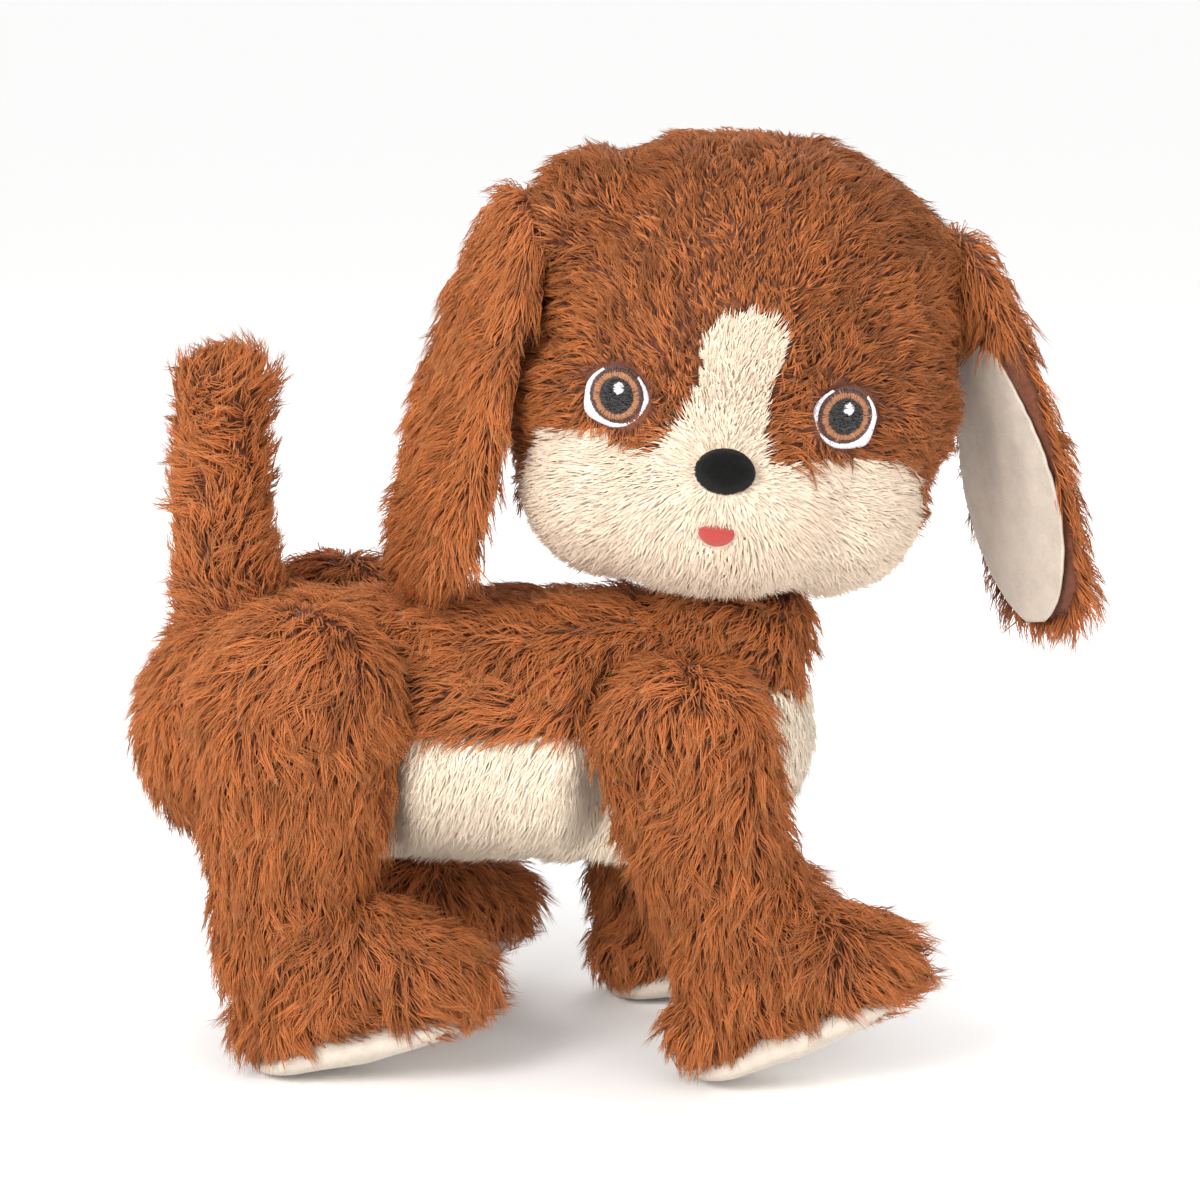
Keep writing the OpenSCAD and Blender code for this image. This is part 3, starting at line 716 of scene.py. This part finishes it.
def head_flow(place, facing):
    """Brushed back from the nose over the muzzle and cheeks, and up and back over the crown."""
    p = FACE.back(place)
    from_nose = unit(p - (NOSE_SPOT + np.array([4, 0, 2])))
    beside_nose = (p[:, 1] - NOSE_SPOT[1]) / 17
    on_blaze = (np.exp(-(beside_nose ** 4)) * grows(p[:, 2], NOSE_SPOT[2] + 12, 3))[:, None]
    from_nose = from_nose * (1 - on_blaze) + np.array([-0.2, 0.12, 1.0]) * on_blaze
    crown = unit(np.stack([-0.45 - p[:, 0] * 0.006, p[:, 1] * 0.016, np.where(p[:, 0] > 0, 0.55, -0.5)], 1))
    down = np.broadcast_to([0.0, 0.0, -1.0], p.shape)
    low = fades(p[:, 2], -8, 7)[:, None]
    behind = fades(p[:, 0], -12, 9)[:, None]
    local = crown * (1 - low) + from_nose * low * 1.3
    local = local * (1 - behind * 0.85) + down * behind * 0.85
    for spot in EYE_SPOTS.values():
        away = p - spot
        near = np.exp(-((np.linalg.norm(away, axis=1) / 15) ** 2))[:, None]
        local = local * (1 - near) + unit(away) * near * 1.5
    return FACE.turn(local)


def clear_of_face(place):
    """No pile grows under the eyes, nose and tongue."""
    p = FACE.back(place)
    clear = np.ones(len(p), bool)
    for spot in EYE_SPOTS.values():
        bare_top = p[:, 2] - spot[2] > 6
        clear &= np.linalg.norm((p - spot) * [0.6, 1, 1], axis=1) > np.where(bare_top, 9.2, 9.7)
    clear &= np.linalg.norm((p - NOSE_SPOT) * [0.6, 0.85, 1.05], axis=1) > 7.0
    clear &= np.linalg.norm((p - TONGUE_SPOT + [0, 0, 1]) * [0.6, 0.9, 1.3], axis=1) > 4.6
    return clear


def face_length(place):
    """The pile is trimmed short round the eyes, nose and mouth, up the blaze and under the ears."""
    p = FACE.back(place)
    short = np.ones(len(p))
    spots = [(spot, 17, 0.35) for spot in EYE_SPOTS.values()]
    spots += [(NOSE_SPOT, 24, 0.38), (TONGUE_SPOT, 14, 0.35)]
    for spot, reach, least in spots:
        d = np.linalg.norm(p - spot, axis=1) / reach
        short = np.minimum(short, least + (1 - least) * np.clip(d, 0, 1) ** 1.5)
    front = grows(p[:, 0], 20, 6)
    on_blaze = np.clip((p[:, 2] - NOSE_SPOT[2] - 14) / 20, 0, 1) * (np.abs(p[:, 1] - NOSE_SPOT[1]) < 15)
    under_ears = (np.abs(p[:, 1]) > 50) & (p[:, 2] < 18) & (np.abs(p[:, 0]) < 26)
    return short * (1 - 0.18 * front) * (1 - 0.4 * on_blaze) * np.where(under_ears, 0.85, 1)


LONG = Pile(density=94, length=13.0, thickness=0.42, lean=50, lock=3.0, clump=0.74, swirl=72, ragged=0.34,
            softness=0.45, tone=0.66)
# the crown's low tone darkens the brown of the head: partly the pile's own colour, partly painted shade from
# how the light falls across the brushed pile
CROWN = replace(LONG, length=11.5, lean=44, tone=0.28)
EAR_PILE = replace(LONG, swirl=36)
UNDER = Pile(density=30, length=8.0, thickness=0.9, lean=50, lock=2.6, clump=0.3, tone=0.4)
SOFT = Pile(density=104, length=9.5, thickness=0.44, lean=62, lock=3.2, clump=0.12, swirl=14, ragged=0.08,
            softness=0.92)
SOFT_UNDER = replace(UNDER, density=46, length=6.5, thickness=1.15, clump=0.05, softness=0.95, tone=0.7)

# brown pile: the dark root colour is painted shade between the strands, the light tip colour a painted
# highlight
brown_pile_painted_shade_highlight = pile_material("brown_pile_painted_shade_highlight", srgb(98, 48, 24), BROWN, srgb(228, 162, 106), 0.36)
# belly pile: lighter than the face pile, as painted light against the shade under the body and legs
belly_pile_painted_light = pile_material("belly_pile_painted_light", srgb(250, 230, 206), CREAM, srgb(252, 237, 216), 0.9)
# face pile: darker than the belly pile, as painted shade where the key light falls on the face
face_pile = pile_material("face_pile", srgb(238, 217, 192), FACE_CREAM_PAINTED_SHADE, srgb(240, 224, 202), 0.9)
# the brown backing's dark colour is painted shade: it shows in the gaps between the strands
brown_backing_painted_shade = backing_material("brown_backing_painted_shade", srgb(116, 62, 34))
cream_backing = backing_material("cream_backing", srgb(244, 222, 194))
satin = satin_material("satin_velour", SATIN)


def coat(name, skin, body, slot, flow, seed, where=None, scale=None, long=None, paint=None, keep=None):
    """A top coat and an undercoat in the colour of one slot."""
    brown = slot == "brown_fur"
    paint = paint or (brown_pile_painted_shade_highlight if brown else belly_pile_painted_light)
    long = long or (LONG if brown else SOFT)
    under = UNDER if brown else SOFT_UNDER
    grow(name + "_pile", skin, body, paint, long, flow, seed, where, scale, keep)
    grow(name + "_under", skin, body, paint, under, flow, seed + 1, where, scale, keep)


def padded_skin(name, mesh, body, slot, node):
    """The backing that a pile grows on: a stuffed form in place of a soft CAD node."""
    paint = brown_backing_painted_shade if slot == "brown_fur" else cream_backing
    made = new_object(name, mesh, body, paint)
    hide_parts(node)


def backing(name, skin, keep, body, slot, node, thickness=1.0):
    """The faces of a form that pass keep, as a padded shell."""
    padded_skin(name, part_of_mesh(skin, name, keep, thickness), body, slot, node)


def build_head():
    blobs = [(local_in(FACE, HEAD, m), half) for m, half in HEAD_BLOBS]
    for side, sign in EARS.items():
        root = np.array([EAR_ROOT_X[side], EAR_ROOT_Y[side], EAR_ROOT_Z[side]])
        inner = (root + (-1, -sign * 19, 5), (17, 13, 12))
        outer = (root + (0, -sign * 6, -4), (16, 8, 12))
        blobs += between([inner, outer], 3)
    skin = soft_mesh("head_form", HEAD, blobs, voxel=2.8)

    def cream(p, fuzz=1.2):
        return in_cream_face(p, fuzz) & ~neck_opening(p)

    def brown(p, fuzz=1.2):
        return ~in_cream_face(p, fuzz) & ~neck_opening(p)

    backing("face_backing", skin, lambda p: cream(p, 0), "head", "cream_fur", "face_fur")
    backing("head_backing", skin, lambda p: brown(p, 0), "head", "brown_fur", "head_fur")
    coat("head", skin, "head", "brown_fur", head_flow, 11, lambda p: brown(p) & clear_of_face(p), face_length,
         long=CROWN)
    coat("face", skin, "head", "cream_fur", head_flow, 21, lambda p: cream(p) & clear_of_face(p), face_length,
         paint=face_pile)


# ---------------- eyes, nose and tongue


def dome(radius_y, radius_z, height, depth, rings=10, segments=48):
    """A crowned disc facing +X: points and faces, in millimetres, closed at the back."""
    points, faces = [(height(0.0), 0.0, 0.0)], []
    for r in range(1, rings + 1):
        for k in range(segments):
            a = 2 * math.pi * k / segments
            q = r / rings
            points.append((height(q), radius_y * q * math.cos(a), radius_z * q * math.sin(a)))
    for k in range(segments):
        a = 2 * math.pi * k / segments
        points.append((depth, radius_y * 0.9 * math.cos(a), radius_z * 0.9 * math.sin(a)))
    points.append((depth, 0.0, 0.0))
    last = len(points) - 1
    for k in range(segments):
        n = (k + 1) % segments
        faces.append((0, 1 + k, 1 + n))
        for r in range(rings):
            a, b = 1 + r * segments, 1 + (r + 1) * segments
            faces.append((a + k, b + k, b + n, a + n))
        a = 1 + rings * segments
        faces.append((a + n, a + k, last))
    return points, faces


def mesh_in(local, name, points, faces):
    mesh = bpy.data.meshes.new(name)
    mesh.from_pydata(local.out(points).tolist(), [], faces)
    mesh.update()
    return mesh


def stitches(name, local, starts, ends, lift, width, material, seed):
    """Embroidery: each stitch is a thread that rises from one needle hole and goes down the next."""
    rng = np.random.default_rng(seed)
    starts, ends = np.asarray(starts, float), np.asarray(ends, float)
    steps = np.array([0, 0.12, 0.5, 0.88, 1.0])
    rise = np.array([-0.25, 0.35, 1.0, 0.35, -0.25])
    line = starts[:, None] * (1 - steps[:, None]) + ends[:, None] * steps[:, None]
    line = line + rise[:, None] * np.array([lift, 0, 0]) * (1 + rng.normal(size=(len(line), 1, 1)) * 0.15)
    thick = np.broadcast_to(np.array([0.7, 1, 1, 1, 0.0]), (len(line), 5)) * width / 2 * MM
    mesh = strand_mesh(name, local.out(line), thick, rng.random(len(line)), rng)
    new_object(name, mesh, "head", material)


EYE_R = 9.6
EYE_TURN = 17             # how far each eye looks outwards, in degrees
IRIS_R = 8.5
PUPIL_R = 5.45
WHITE_FROM, WHITE_TO = 120, 402   # the white leaves the top of the iris bare


def eye_face(points):
    """Puts flat points (sideways, up) on the crowned eye patch."""
    points = np.asarray(points, float)
    q = np.linalg.norm(points, axis=-1, keepdims=True) / EYE_R
    return np.concatenate([1.4 - 0.8 * q ** 2, points], -1)


def ring_points(radius, angles):
    a = np.radians(angles)
    return np.stack([radius * np.cos(a), radius * np.sin(a)], -1)


def filled(radius_y, radius_z, middle, pitch, rng, most):
    """Starts and ends of level rows of stitches that fill an ellipse."""
    starts, ends = [], []
    for z in np.arange(-radius_z + pitch / 2, radius_z, pitch):
        half = radius_y * math.sqrt(max(0.0, 1 - (z / radius_z) ** 2))
        cuts = [-half]
        while cuts[-1] < half:
            cuts.append(min(half, cuts[-1] + most * (0.6 + 0.8 * rng.random())))
        for a, b in zip(cuts, cuts[1:]):
            if b - a > 0.3:
                starts.append((middle[0] + a, middle[1] + z + rng.normal() * 0.05))
                ends.append((middle[0] + b, middle[1] + z + rng.normal() * 0.05))
    return starts, ends


def build_eye(side, sign, threads):
    rng = np.random.default_rng(300 + sign)
    local = Local(FACE.out(EYE_SPOTS[side]), FACE.rotation @ turned(0, 4, sign * EYE_TURN))
    points, faces = dome(EYE_R - 0.8, EYE_R - 0.8, lambda q: 1.2 - 0.8 * q ** 2, -6.5)
    patch = new_object(f"eye_{side}_patch", mesh_in(local, "eye", points, faces), "head",
                       threads["backing"])
    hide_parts("eye_" + side)

    def sew(part, starts, ends, lift, width, thread, seed):
        stitches(f"eye_{side}_{part}", local, eye_face(starts), eye_face(ends), lift, width,
                 threads[thread], seed)

    # the white, wider towards the outer lower corner
    angles = np.arange(WHITE_FROM, WHITE_TO, 1.15)
    outward = 211 if sign < 0 else 310
    corner = 1.7 * np.exp(-((angles - outward) / 20) ** 2)
    taper = np.clip(np.minimum(angles - WHITE_FROM, WHITE_TO - angles) / 45, 0.2, 1)
    outer = IRIS_R + 0.3 + (1.2 + corner) * taper
    sew("white", ring_points(IRIS_R - 0.3, angles), ring_points(outer, angles + 3), 0.5, 0.42, "white", 1)
    # the iris: radial satin stitches, dark at the rim and copper inside
    angles = np.arange(0, 360, 2.0)
    rim = IRIS_R + rng.normal(size=len(angles)) * 0.12
    sew("rim", ring_points(IRIS_R - 2.2, angles), ring_points(rim, angles + 2), 0.62, 0.42, "rim", 2)
    angles = np.arange(0, 360, 2.3)
    inner = PUPIL_R - 0.5 + rng.normal(size=len(angles)) * 0.1
    outer = IRIS_R - 0.6 + rng.normal(size=len(angles)) * 0.25
    sew("iris", ring_points(inner, angles), ring_points(outer, angles + 5), 0.85, 0.46, "iris", 3)
    starts, ends = filled(PUPIL_R, PUPIL_R + 0.1, (0, 0), 0.3, rng, 3.0)
    sew("pupil", starts, ends, 1.0, 0.42, "black", 4)
    starts, ends = filled(2.0, 1.75, (0.7, 2.4), 0.17, rng, 9.0)
    sew("glint", starts, ends, 1.6, 0.45, "white", 5)


def build_face_details():
    colours = {
        "backing": (92, 50, 34),
        "rim": (74, 36, 24),
        "iris": (176, 116, 74),
        "black": (20, 20, 20),
        "white": (250, 244, 250),
    }
    threads = {use: thread_material("thread_" + use, srgb(*colour)) for use, colour in colours.items()}
    for side, sign in EARS.items():
        build_eye(side, sign, threads)
    flock = felt_material("black_flock", srgb(15, 13, 12), srgb(6, 5, 5), 3000, 0.12)
    local = Local(box_middle("nose"), FACE.rotation @ turned(0, 10, 0))
    points, faces = dome(8.7, 6.6, lambda q: 2.6 - 3.4 * q ** 3.2, -5.0, rings=16, segments=64)
    nose = new_object("nose_pad", mesh_in(local, "nose", points, faces), "head", flock)
    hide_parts("nose")
    down = Pile(density=700, length=0.7, thickness=0.2, lean=35, lock=0.8, clump=0.1)
    grow("nose_flock", nose.data, "head", flock, down, lambda p, n: n * 0 + [0, 0, -1.0], 61)
    red = felt_material("red_felt", srgb(194, 74, 66), srgb(164, 52, 48), 2200, 0.3)
    local = Local(box_middle("tongue"), FACE.rotation @ turned(0, 18, 0))
    points, faces = dome(5.3, 4.6, lambda q: 1.3 - q ** 3, -6.0)
    points = [(px, py, pz * 0.25 + 1.2 if pz > 0 else pz + 1.2) for px, py, pz in points]
    tongue = new_object("tongue_felt", mesh_in(local, "tongue", points, faces), "head", red)
    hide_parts("tongue")


# ---------------- torso, belly and flap

TORSO = Local((0, 0, 0))
TORSO_BLOBS = [
    ((-108, 0, 101), (40, 41, 39)),
    ((19, 0, 101), (39, 41, 39.5)),
]
NECK_BLOB = ((34, 0, 135), (23, 23, 18))
# Over the front corners of the chassis
CHEST_BLOBS = [((36, side * 10, 126), (18, 17, 17)) for side in (-1, 1)]
SEAM_Z = 106              # the cream panel starts below this
SEAM_X = -72              # and in front of this
BIB_X, BIB_TOP, BIB_HALF = 36, 118, 30   # the cream bib: from where it starts, up to where, half its width
COLLAR_Z = 140            # above this the pile is brushed down from the neck
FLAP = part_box("belly_flap")
FLAP_TOP = 80             # the flap is the underside of the torso, so it lies below this
HALF_GAP = 24.5           # half the width of the torso between two legs


def leg_zone(place):
    """How deep a point is inside the space that the legs sweep, from 0 to 1."""
    depth = np.zeros(len(place))
    for hub in (SHOULDER, HIP):
        dx = (place[:, 0] - hub[0]) / MM
        dz = (place[:, 2] - hub[2]) / MM
        slope = 0.12 if hub is SHOULDER else 0.0
        radius = np.where(dz > 0, np.hypot(dx, dz), np.abs(dx) + dz * slope)
        reach = 32 if hub is SHOULDER else 35
        depth = np.maximum(depth, np.clip((reach - radius) / 9, 0, 1))
    return depth * depth * (3 - 2 * depth)


def pinch(place):
    """Draws the torso in between each pair of legs."""
    place = place.copy()
    deep = leg_zone(place)
    limit = HALF_GAP * MM
    y = place[:, 1]
    over = np.maximum(np.abs(y) - limit, 0) * deep
    place[:, 1] = y - np.sign(y) * over
    return place


def over_flap(place, grown=0.0):
    """On the belly flap, or on it grown by some millimetres at each edge."""
    low, high = FLAP
    return ((place[:, 0] > low[0] - grown * MM) & (place[:, 0] < high[0] + grown * MM)
            & (np.abs(place[:, 1]) < high[1] + grown * MM) & (place[:, 2] < FLAP_TOP * MM))


def cream_belly(place, fuzz):
    """On the cream panel or the bib, with an edge as uneven as fuzz says, in millimetres."""
    z = place[:, 2] + hash_noise(place, 9, 44) * fuzz * MM
    x = place[:, 0] + hash_noise(place, 9, 45) * fuzz * MM
    chest = (x > BIB_X * MM) & (z < BIB_TOP * MM) & (np.abs(place[:, 1]) < BIB_HALF * MM)
    return ((z < SEAM_Z * MM) & (x > SEAM_X * MM)) | chest


def torso_flow(place, facing):
    """Brushed towards the tail and down the flanks, in rough whorls."""
    down = np.array([0.0, 0.0, -1.0])
    back = np.array([-1.0, 0.0, 0.1])
    rump = (place[:, 0] < HIP[0] - 0.015)[:, None]
    collar = (place[:, 2] > COLLAR_Z * MM)[:, None]
    flow = np.where(rump, [-0.2, 0, -1.0], back * 0.75 + down * 0.8)
    return np.where(collar, [-0.5, 0, -0.6], flow)


def belly_flow(place, facing):
    return np.array([-0.45, 0.0, -1.0]) + facing * 0


def build_torso():
    blobs = between(TORSO_BLOBS, 8) + [NECK_BLOB] + CHEST_BLOBS
    skin = soft_mesh("torso_form", TORSO, blobs, voxel=2.6, shape=pinch)

    def cream(p, fuzz=2.0):
        return cream_belly(p, fuzz) & ~over_flap(p)

    def brown(p, fuzz=2.0):
        return ~cream_belly(p, fuzz) & ~over_flap(p)

    backing("belly_backing", skin, lambda p: cream(p, 0), "torso", "cream_fur", "belly_fur")
    backing("torso_backing", skin, lambda p: brown(p, 0), "torso", "brown_fur", "torso_fur")
    backing("flap_backing", skin, lambda p: over_flap(p, -1.2), "belly_flap", "cream_fur", "belly_flap",
            thickness=1.6)

    def seen(p):
        """No pile grows where a leg always hides it."""
        return (leg_zone(p) < 0.97) | (np.abs(p[:, 1]) < 0.019) | (p[:, 2] < 0.078) | (p[:, 2] > 0.126)

    def shorter(p):
        return 1 - 0.4 * leg_zone(p) * (np.abs(p[:, 1]) > 0.015) * (p[:, 2] > 0.1)

    def filling(p):
        """Longer where the belly is drawn in beside a leg."""
        return 1 + 0.25 * leg_zone(p) * (np.abs(p[:, 1]) > 0.015) * (p[:, 2] > 0.078)

    coat("torso", skin, "torso", "brown_fur", torso_flow, 31, lambda p: brown(p) & seen(p), shorter)
    coat("belly", skin, "torso", "cream_fur", belly_flow, 41, lambda p: cream(p) & seen(p), filling)
    coat("flap", skin, "belly_flap", "cream_fur", belly_flow, 51, lambda p: over_flap(p, -0.8))


# ---------------- legs and paws

TOE_UP = {"front_right": 22, "front_left": 9, "rear_right": 13, "rear_left": 13}
PAD_H = 6
PAD_TOP = 8.5             # the pile on a foot starts this far above the sole
PILE_LOW = 3.0            # and its tips hang no lower than this
SOLE_BELOW = 2            # the soles are drawn this far into the ground, then flattened on it
LEG_MIDDLE = 44           # from the middle of the body
LEG_INNER = 27.5          # a leg's form comes no nearer to the middle of the body than this


def sole_frame(leg):
    """Origin at the heel, x along the sole, z up through the foot."""
    low = np.array(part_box(leg + "_paw_pad")[0])
    toe = math.radians(TOE_UP[leg])
    heel_x = low[0] + PAD_H * MM * math.sin(toe)
    return Local((heel_x, LEGS[leg] * LEG_MIDDLE * MM, -SOLE_BELOW * MM), turned(0, -TOE_UP[leg], 0))


def leg_hub(leg):
    """The axis that a leg strides on."""
    return SHOULDER if leg.startswith("front") else HIP


def leg_blobs(leg):
    side = LEGS[leg]
    hub = leg_hub(leg)
    front = hub is SHOULDER
    sole = sole_frame(leg)
    ankle = np.array([sole.origin[0] / MM + (15 if front else 10), side * LEG_MIDDLE, 38])
    top = np.array([hub[0] / MM, side * (LEG_MIDDLE + 1), 107 if front else 115])
    round_top = (24, 17, 23) if front else (29.5, 17.5, 30)
    knee = (22, 16.5, 24) if front else (25, 17, 24)
    thigh = [(top, round_top), (top * 0.6 + ankle * 0.4, knee), (ankle, (18, 16, 18))]
    heel = sole.out((15, 0, 16)) / MM
    instep = ankle + (4, 0, 5)
    middle = sole.out((33, 0, 24)) / MM
    toe = sole.out((56, 0, 21)) / MM
    foot = [(instep, (19, 16, 19)), (toe, (20, 18.5, 14))]
    return between(thigh, 5) + between(foot, 7) + [(middle, (22, 17.5, 17)), (heel, (15, 14, 11))]


def build_leg(leg, seed):
    body = "leg_" + leg
    side = LEGS[leg]
    sole = sole_frame(leg)
    hub = leg_hub(leg)

    def keep_side(place):
        place = place.copy()
        inner = LEG_INNER * MM
        y = place[:, 1] * side
        place[:, 1] = side * np.where(y < inner, inner + (y - inner) * 0.1, y)
        return place

    skin = soft_mesh(leg + "_form", TORSO, leg_blobs(leg), voxel=2.4, shape=keep_side)
    padded_skin(leg + "_backing", skin, body, "brown_fur", leg + "_leg_fur")

    def above_pad(p):
        s = sole.back(p)
        hidden = ((p[:, 1] * side < 0.030) & (p[:, 2] > 0.088)
                  & (np.hypot(p[:, 0] - hub[0], p[:, 2] - hub[2]) < 0.021))
        return (s[:, 2] > PAD_TOP) & ~hidden

    def flow(place, facing):
        s = sole.back(place)
        forward = sole.turn([0.8, 0, -0.8])
        foot = fades(s[:, 2], 26, 8) * grows(s[:, 0], 24, 10)
        down = np.array([-0.12, side * 0.1, -1.0])
        return down * (1 - foot[:, None]) + forward * foot[:, None]

    def length(p):
        inner = fades(p[:, 1] * side, 0.033, 0.0015)
        toe = grows(sole.back(p)[:, 0], 52, 4)
        return (1 - 0.6 * inner * (p[:, 2] > 0.060)) * (1 + 0.25 * toe * (p[:, 2] < 0.060))

    def over_sole(points):
        """Keeps the pile from hanging below the sole."""
        s = sole.back(points)
        s[:, 2] = np.where(s[:, 2] < PILE_LOW, PILE_LOW + (s[:, 2] - PILE_LOW) * 0.05, s[:, 2])
        return sole.out(s)

    coat(leg, skin, body, "brown_fur", flow, seed, above_pad, length, keep=over_sole)
    build_pad(leg, body, sole, seed + 5)


def build_pad(leg, body, sole, seed):
    """A stuffed satin sole, flat where it rests on the ground."""
    heel = ((17.5, 0, 5), (16.8, 16.8, 5))
    middle = ((36, 0, 6), (18.5, 18.5, 7))
    toe = ((53.5, 0, 7), (20, 20, 6))
    blobs = between([heel, middle, toe], 4)

    def rest(place):
        place = place.copy()
        place[:, 2] += hash_noise(place, 9, seed) * 0.25 * MM
        place[:, 2] = np.maximum(place[:, 2], 0.0)
        return place

    mesh = soft_mesh(leg + "_pad", sole, blobs, voxel=1.3, smoothing=4, shape=rest)
    pad = new_object(leg + "_pad", mesh, body, satin)
    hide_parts(leg + "_paw_pad")


# ---------------- tail


def build_tail():
    root = joint_place("tail_wag")
    local = Local(root, turned(0, -3, 0))
    chain = [((2, 0, 10), (15, 14, 11)), ((1, 0, 42), (12, 11.5, 12)), ((4, 0, 74), (11.5, 10.5, 12))]
    blobs = between(chain, 5) + [((5, 0, 81), (13, 10, 8))]
    skin = soft_mesh("tail_form", local, blobs, voxel=2.0)
    padded_skin("tail_backing", skin, "tail", "brown_fur", "tail_fur")

    def flow(place, facing):
        return np.array([-0.1, 0.0, 1.0]) + facing * 0

    coat("tail", skin, "tail", "brown_fur", flow, 81)


# ---------------- ears


def ear_frame(side):
    """Origin at the root, z up, x across the ear; y, times the ear's side, points out through the fur."""
    sign = EARS[side]
    root = HEAD.out((EAR_ROOT_X[side], EAR_ROOT_Y[side], EAR_ROOT_Z[side]))
    return Local(root, HEAD.rotation @ turned(sign * EAR_TILT, 0, 0) @ turned(0, 0, EAR_TURN))


def ear_bulge(z):
    """How far the ear bows outwards at a height below its root."""
    t = np.clip(-z / EAR_LENGTH, 0, 1)
    return EAR_BULGE * np.sin(math.pi * t) ** 0.9


def lining_half_width(t):
    """Half the width of the lining at t, from its top (0) to its bottom (1)."""
    return 23 * np.sin(math.pi * np.clip(t, 0, 1) ** 1.3) ** 0.5


def build_lining(side):
    sign = EARS[side]
    local = ear_frame(side)
    across, along = 40, 90
    rng_seed = 91 + sign
    u, t = np.meshgrid(np.linspace(-1, 1, across + 1), np.linspace(0.012, 0.988, along + 1))
    z = -LINING_TOP - t * (LINING_LENGTH + EAR_EXTRA[side] * 0.8)
    half = lining_half_width(t)
    x = u * half
    crown = 2.5 - 1.5 * (1 - u ** 2)
    flat = np.stack([x, sign * (crown + ear_bulge(z)), z], -1).reshape(-1, 3)
    world = local.out(flat)
    pucker = hash_noise(world, 3.2, rng_seed) * 0.35 * np.abs(u).ravel() ** 3
    fold = hash_noise(world * [1, 1, 0.35], 8, rng_seed + 1) * 0.9 * (1 - u ** 2).ravel()
    flat[:, 1] += sign * (pucker + fold)
    cols = across + 1
    faces = [(r * cols + c, r * cols + c + 1, (r + 1) * cols + c + 1, (r + 1) * cols + c)
             for r in range(along) for c in range(across)]
    if sign > 0:
        faces = [f[::-1] for f in faces]
    sheet = mesh_in(local, f"ear_{side}_lining_sheet", flat, faces)
    whole = part_of_mesh(sheet, f"ear_{side}_velour", lambda p: np.ones(len(p), bool), 0.7)
    lining = new_object(f"ear_{side}_velour", whole, "ear_" + side, satin)
    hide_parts(f"ear_{side}_lining")


def build_ear(side, seed):
    sign = EARS[side]
    body = "ear_" + side
    local = ear_frame(side)
    tip = -100 - EAR_EXTRA[side]
    chain = [
        ((0, 4, -3), (13, 5.0, 9)), ((0, 6, -28), (19, 4.0, 16)),
        ((0, 7, -70), (23.5, 3.6, 18)), ((0, 7, tip), (22.5, 3.6, 17)),
    ]
    blobs = [(np.array([p[0], sign * (p[1] + ear_bulge(p[2])), p[2]]), half) for p, half in between(chain, 7)]
    skin = soft_mesh(body + "_form", local, blobs, voxel=1.9, smoothing=6)
    padded_skin(body + "_backing", skin, body, "brown_fur", body + "_fur")

    def fur_side(p):
        q = local.back(p)
        return (q[:, 1] * sign - ear_bulge(q[:, 2]) > EAR_RIM[side]) | (q[:, 2] > -LINING_TOP - 4)

    def flow(place, facing):
        q = local.back(place)
        rim = np.clip(np.abs(q[:, 0]) / 22, 0, 1) ** 4
        sideways = -0.35 * (1 - rim) + np.sign(q[:, 0]) * rim * 1.5
        spread = np.stack([sideways, np.zeros(len(q)), -np.ones(len(q))], 1)
        return local.turn(spread)

    coat(body, skin, body, "brown_fur", flow, seed, fur_side, long=EAR_PILE)
    build_lining(side)


# ---------------- parts that stay as the CAD made them


def dress_nodes():
    """Gives every carried-over CAD node a finished material, by its slot."""
    finishes = {
        "casing_plastic": (plastic_material, (208, 204, 196), 0.45),
        "black_plastic": (plastic_material, (34, 34, 36), 0.5),
        "steel": (metal_material, (176, 178, 182), 0.32),
        "brass": (metal_material, (196, 160, 92), 0.3),
        "copper": (metal_material, (190, 108, 70), 0.35),
        "board": (plastic_material, (30, 92, 58), 0.4),
        "cell_jacket": (plastic_material, (58, 66, 80), 0.3),
    }
    paints = {slot: kind(slot + "_finish", srgb(*colour), roughness)
              for slot, (kind, colour, roughness) in finishes.items()}
    for part in frame["record"]["subparts"]:
        paint = paints.get(part["material_slot"])
        if paint is not None:
            mesh = frame["nodes"][part["node"]].data
            mesh.materials.clear()
            mesh.materials.append(paint)


make_camera()
make_light()
make_floor()
build_head()
build_face_details()
build_torso()
for number, leg_name in enumerate(LEGS):
    build_leg(leg_name, 100 + number * 10)
build_tail()
for number, ear_side in enumerate(EARS):
    build_ear(ear_side, 150 + number * 10)
dress_nodes()
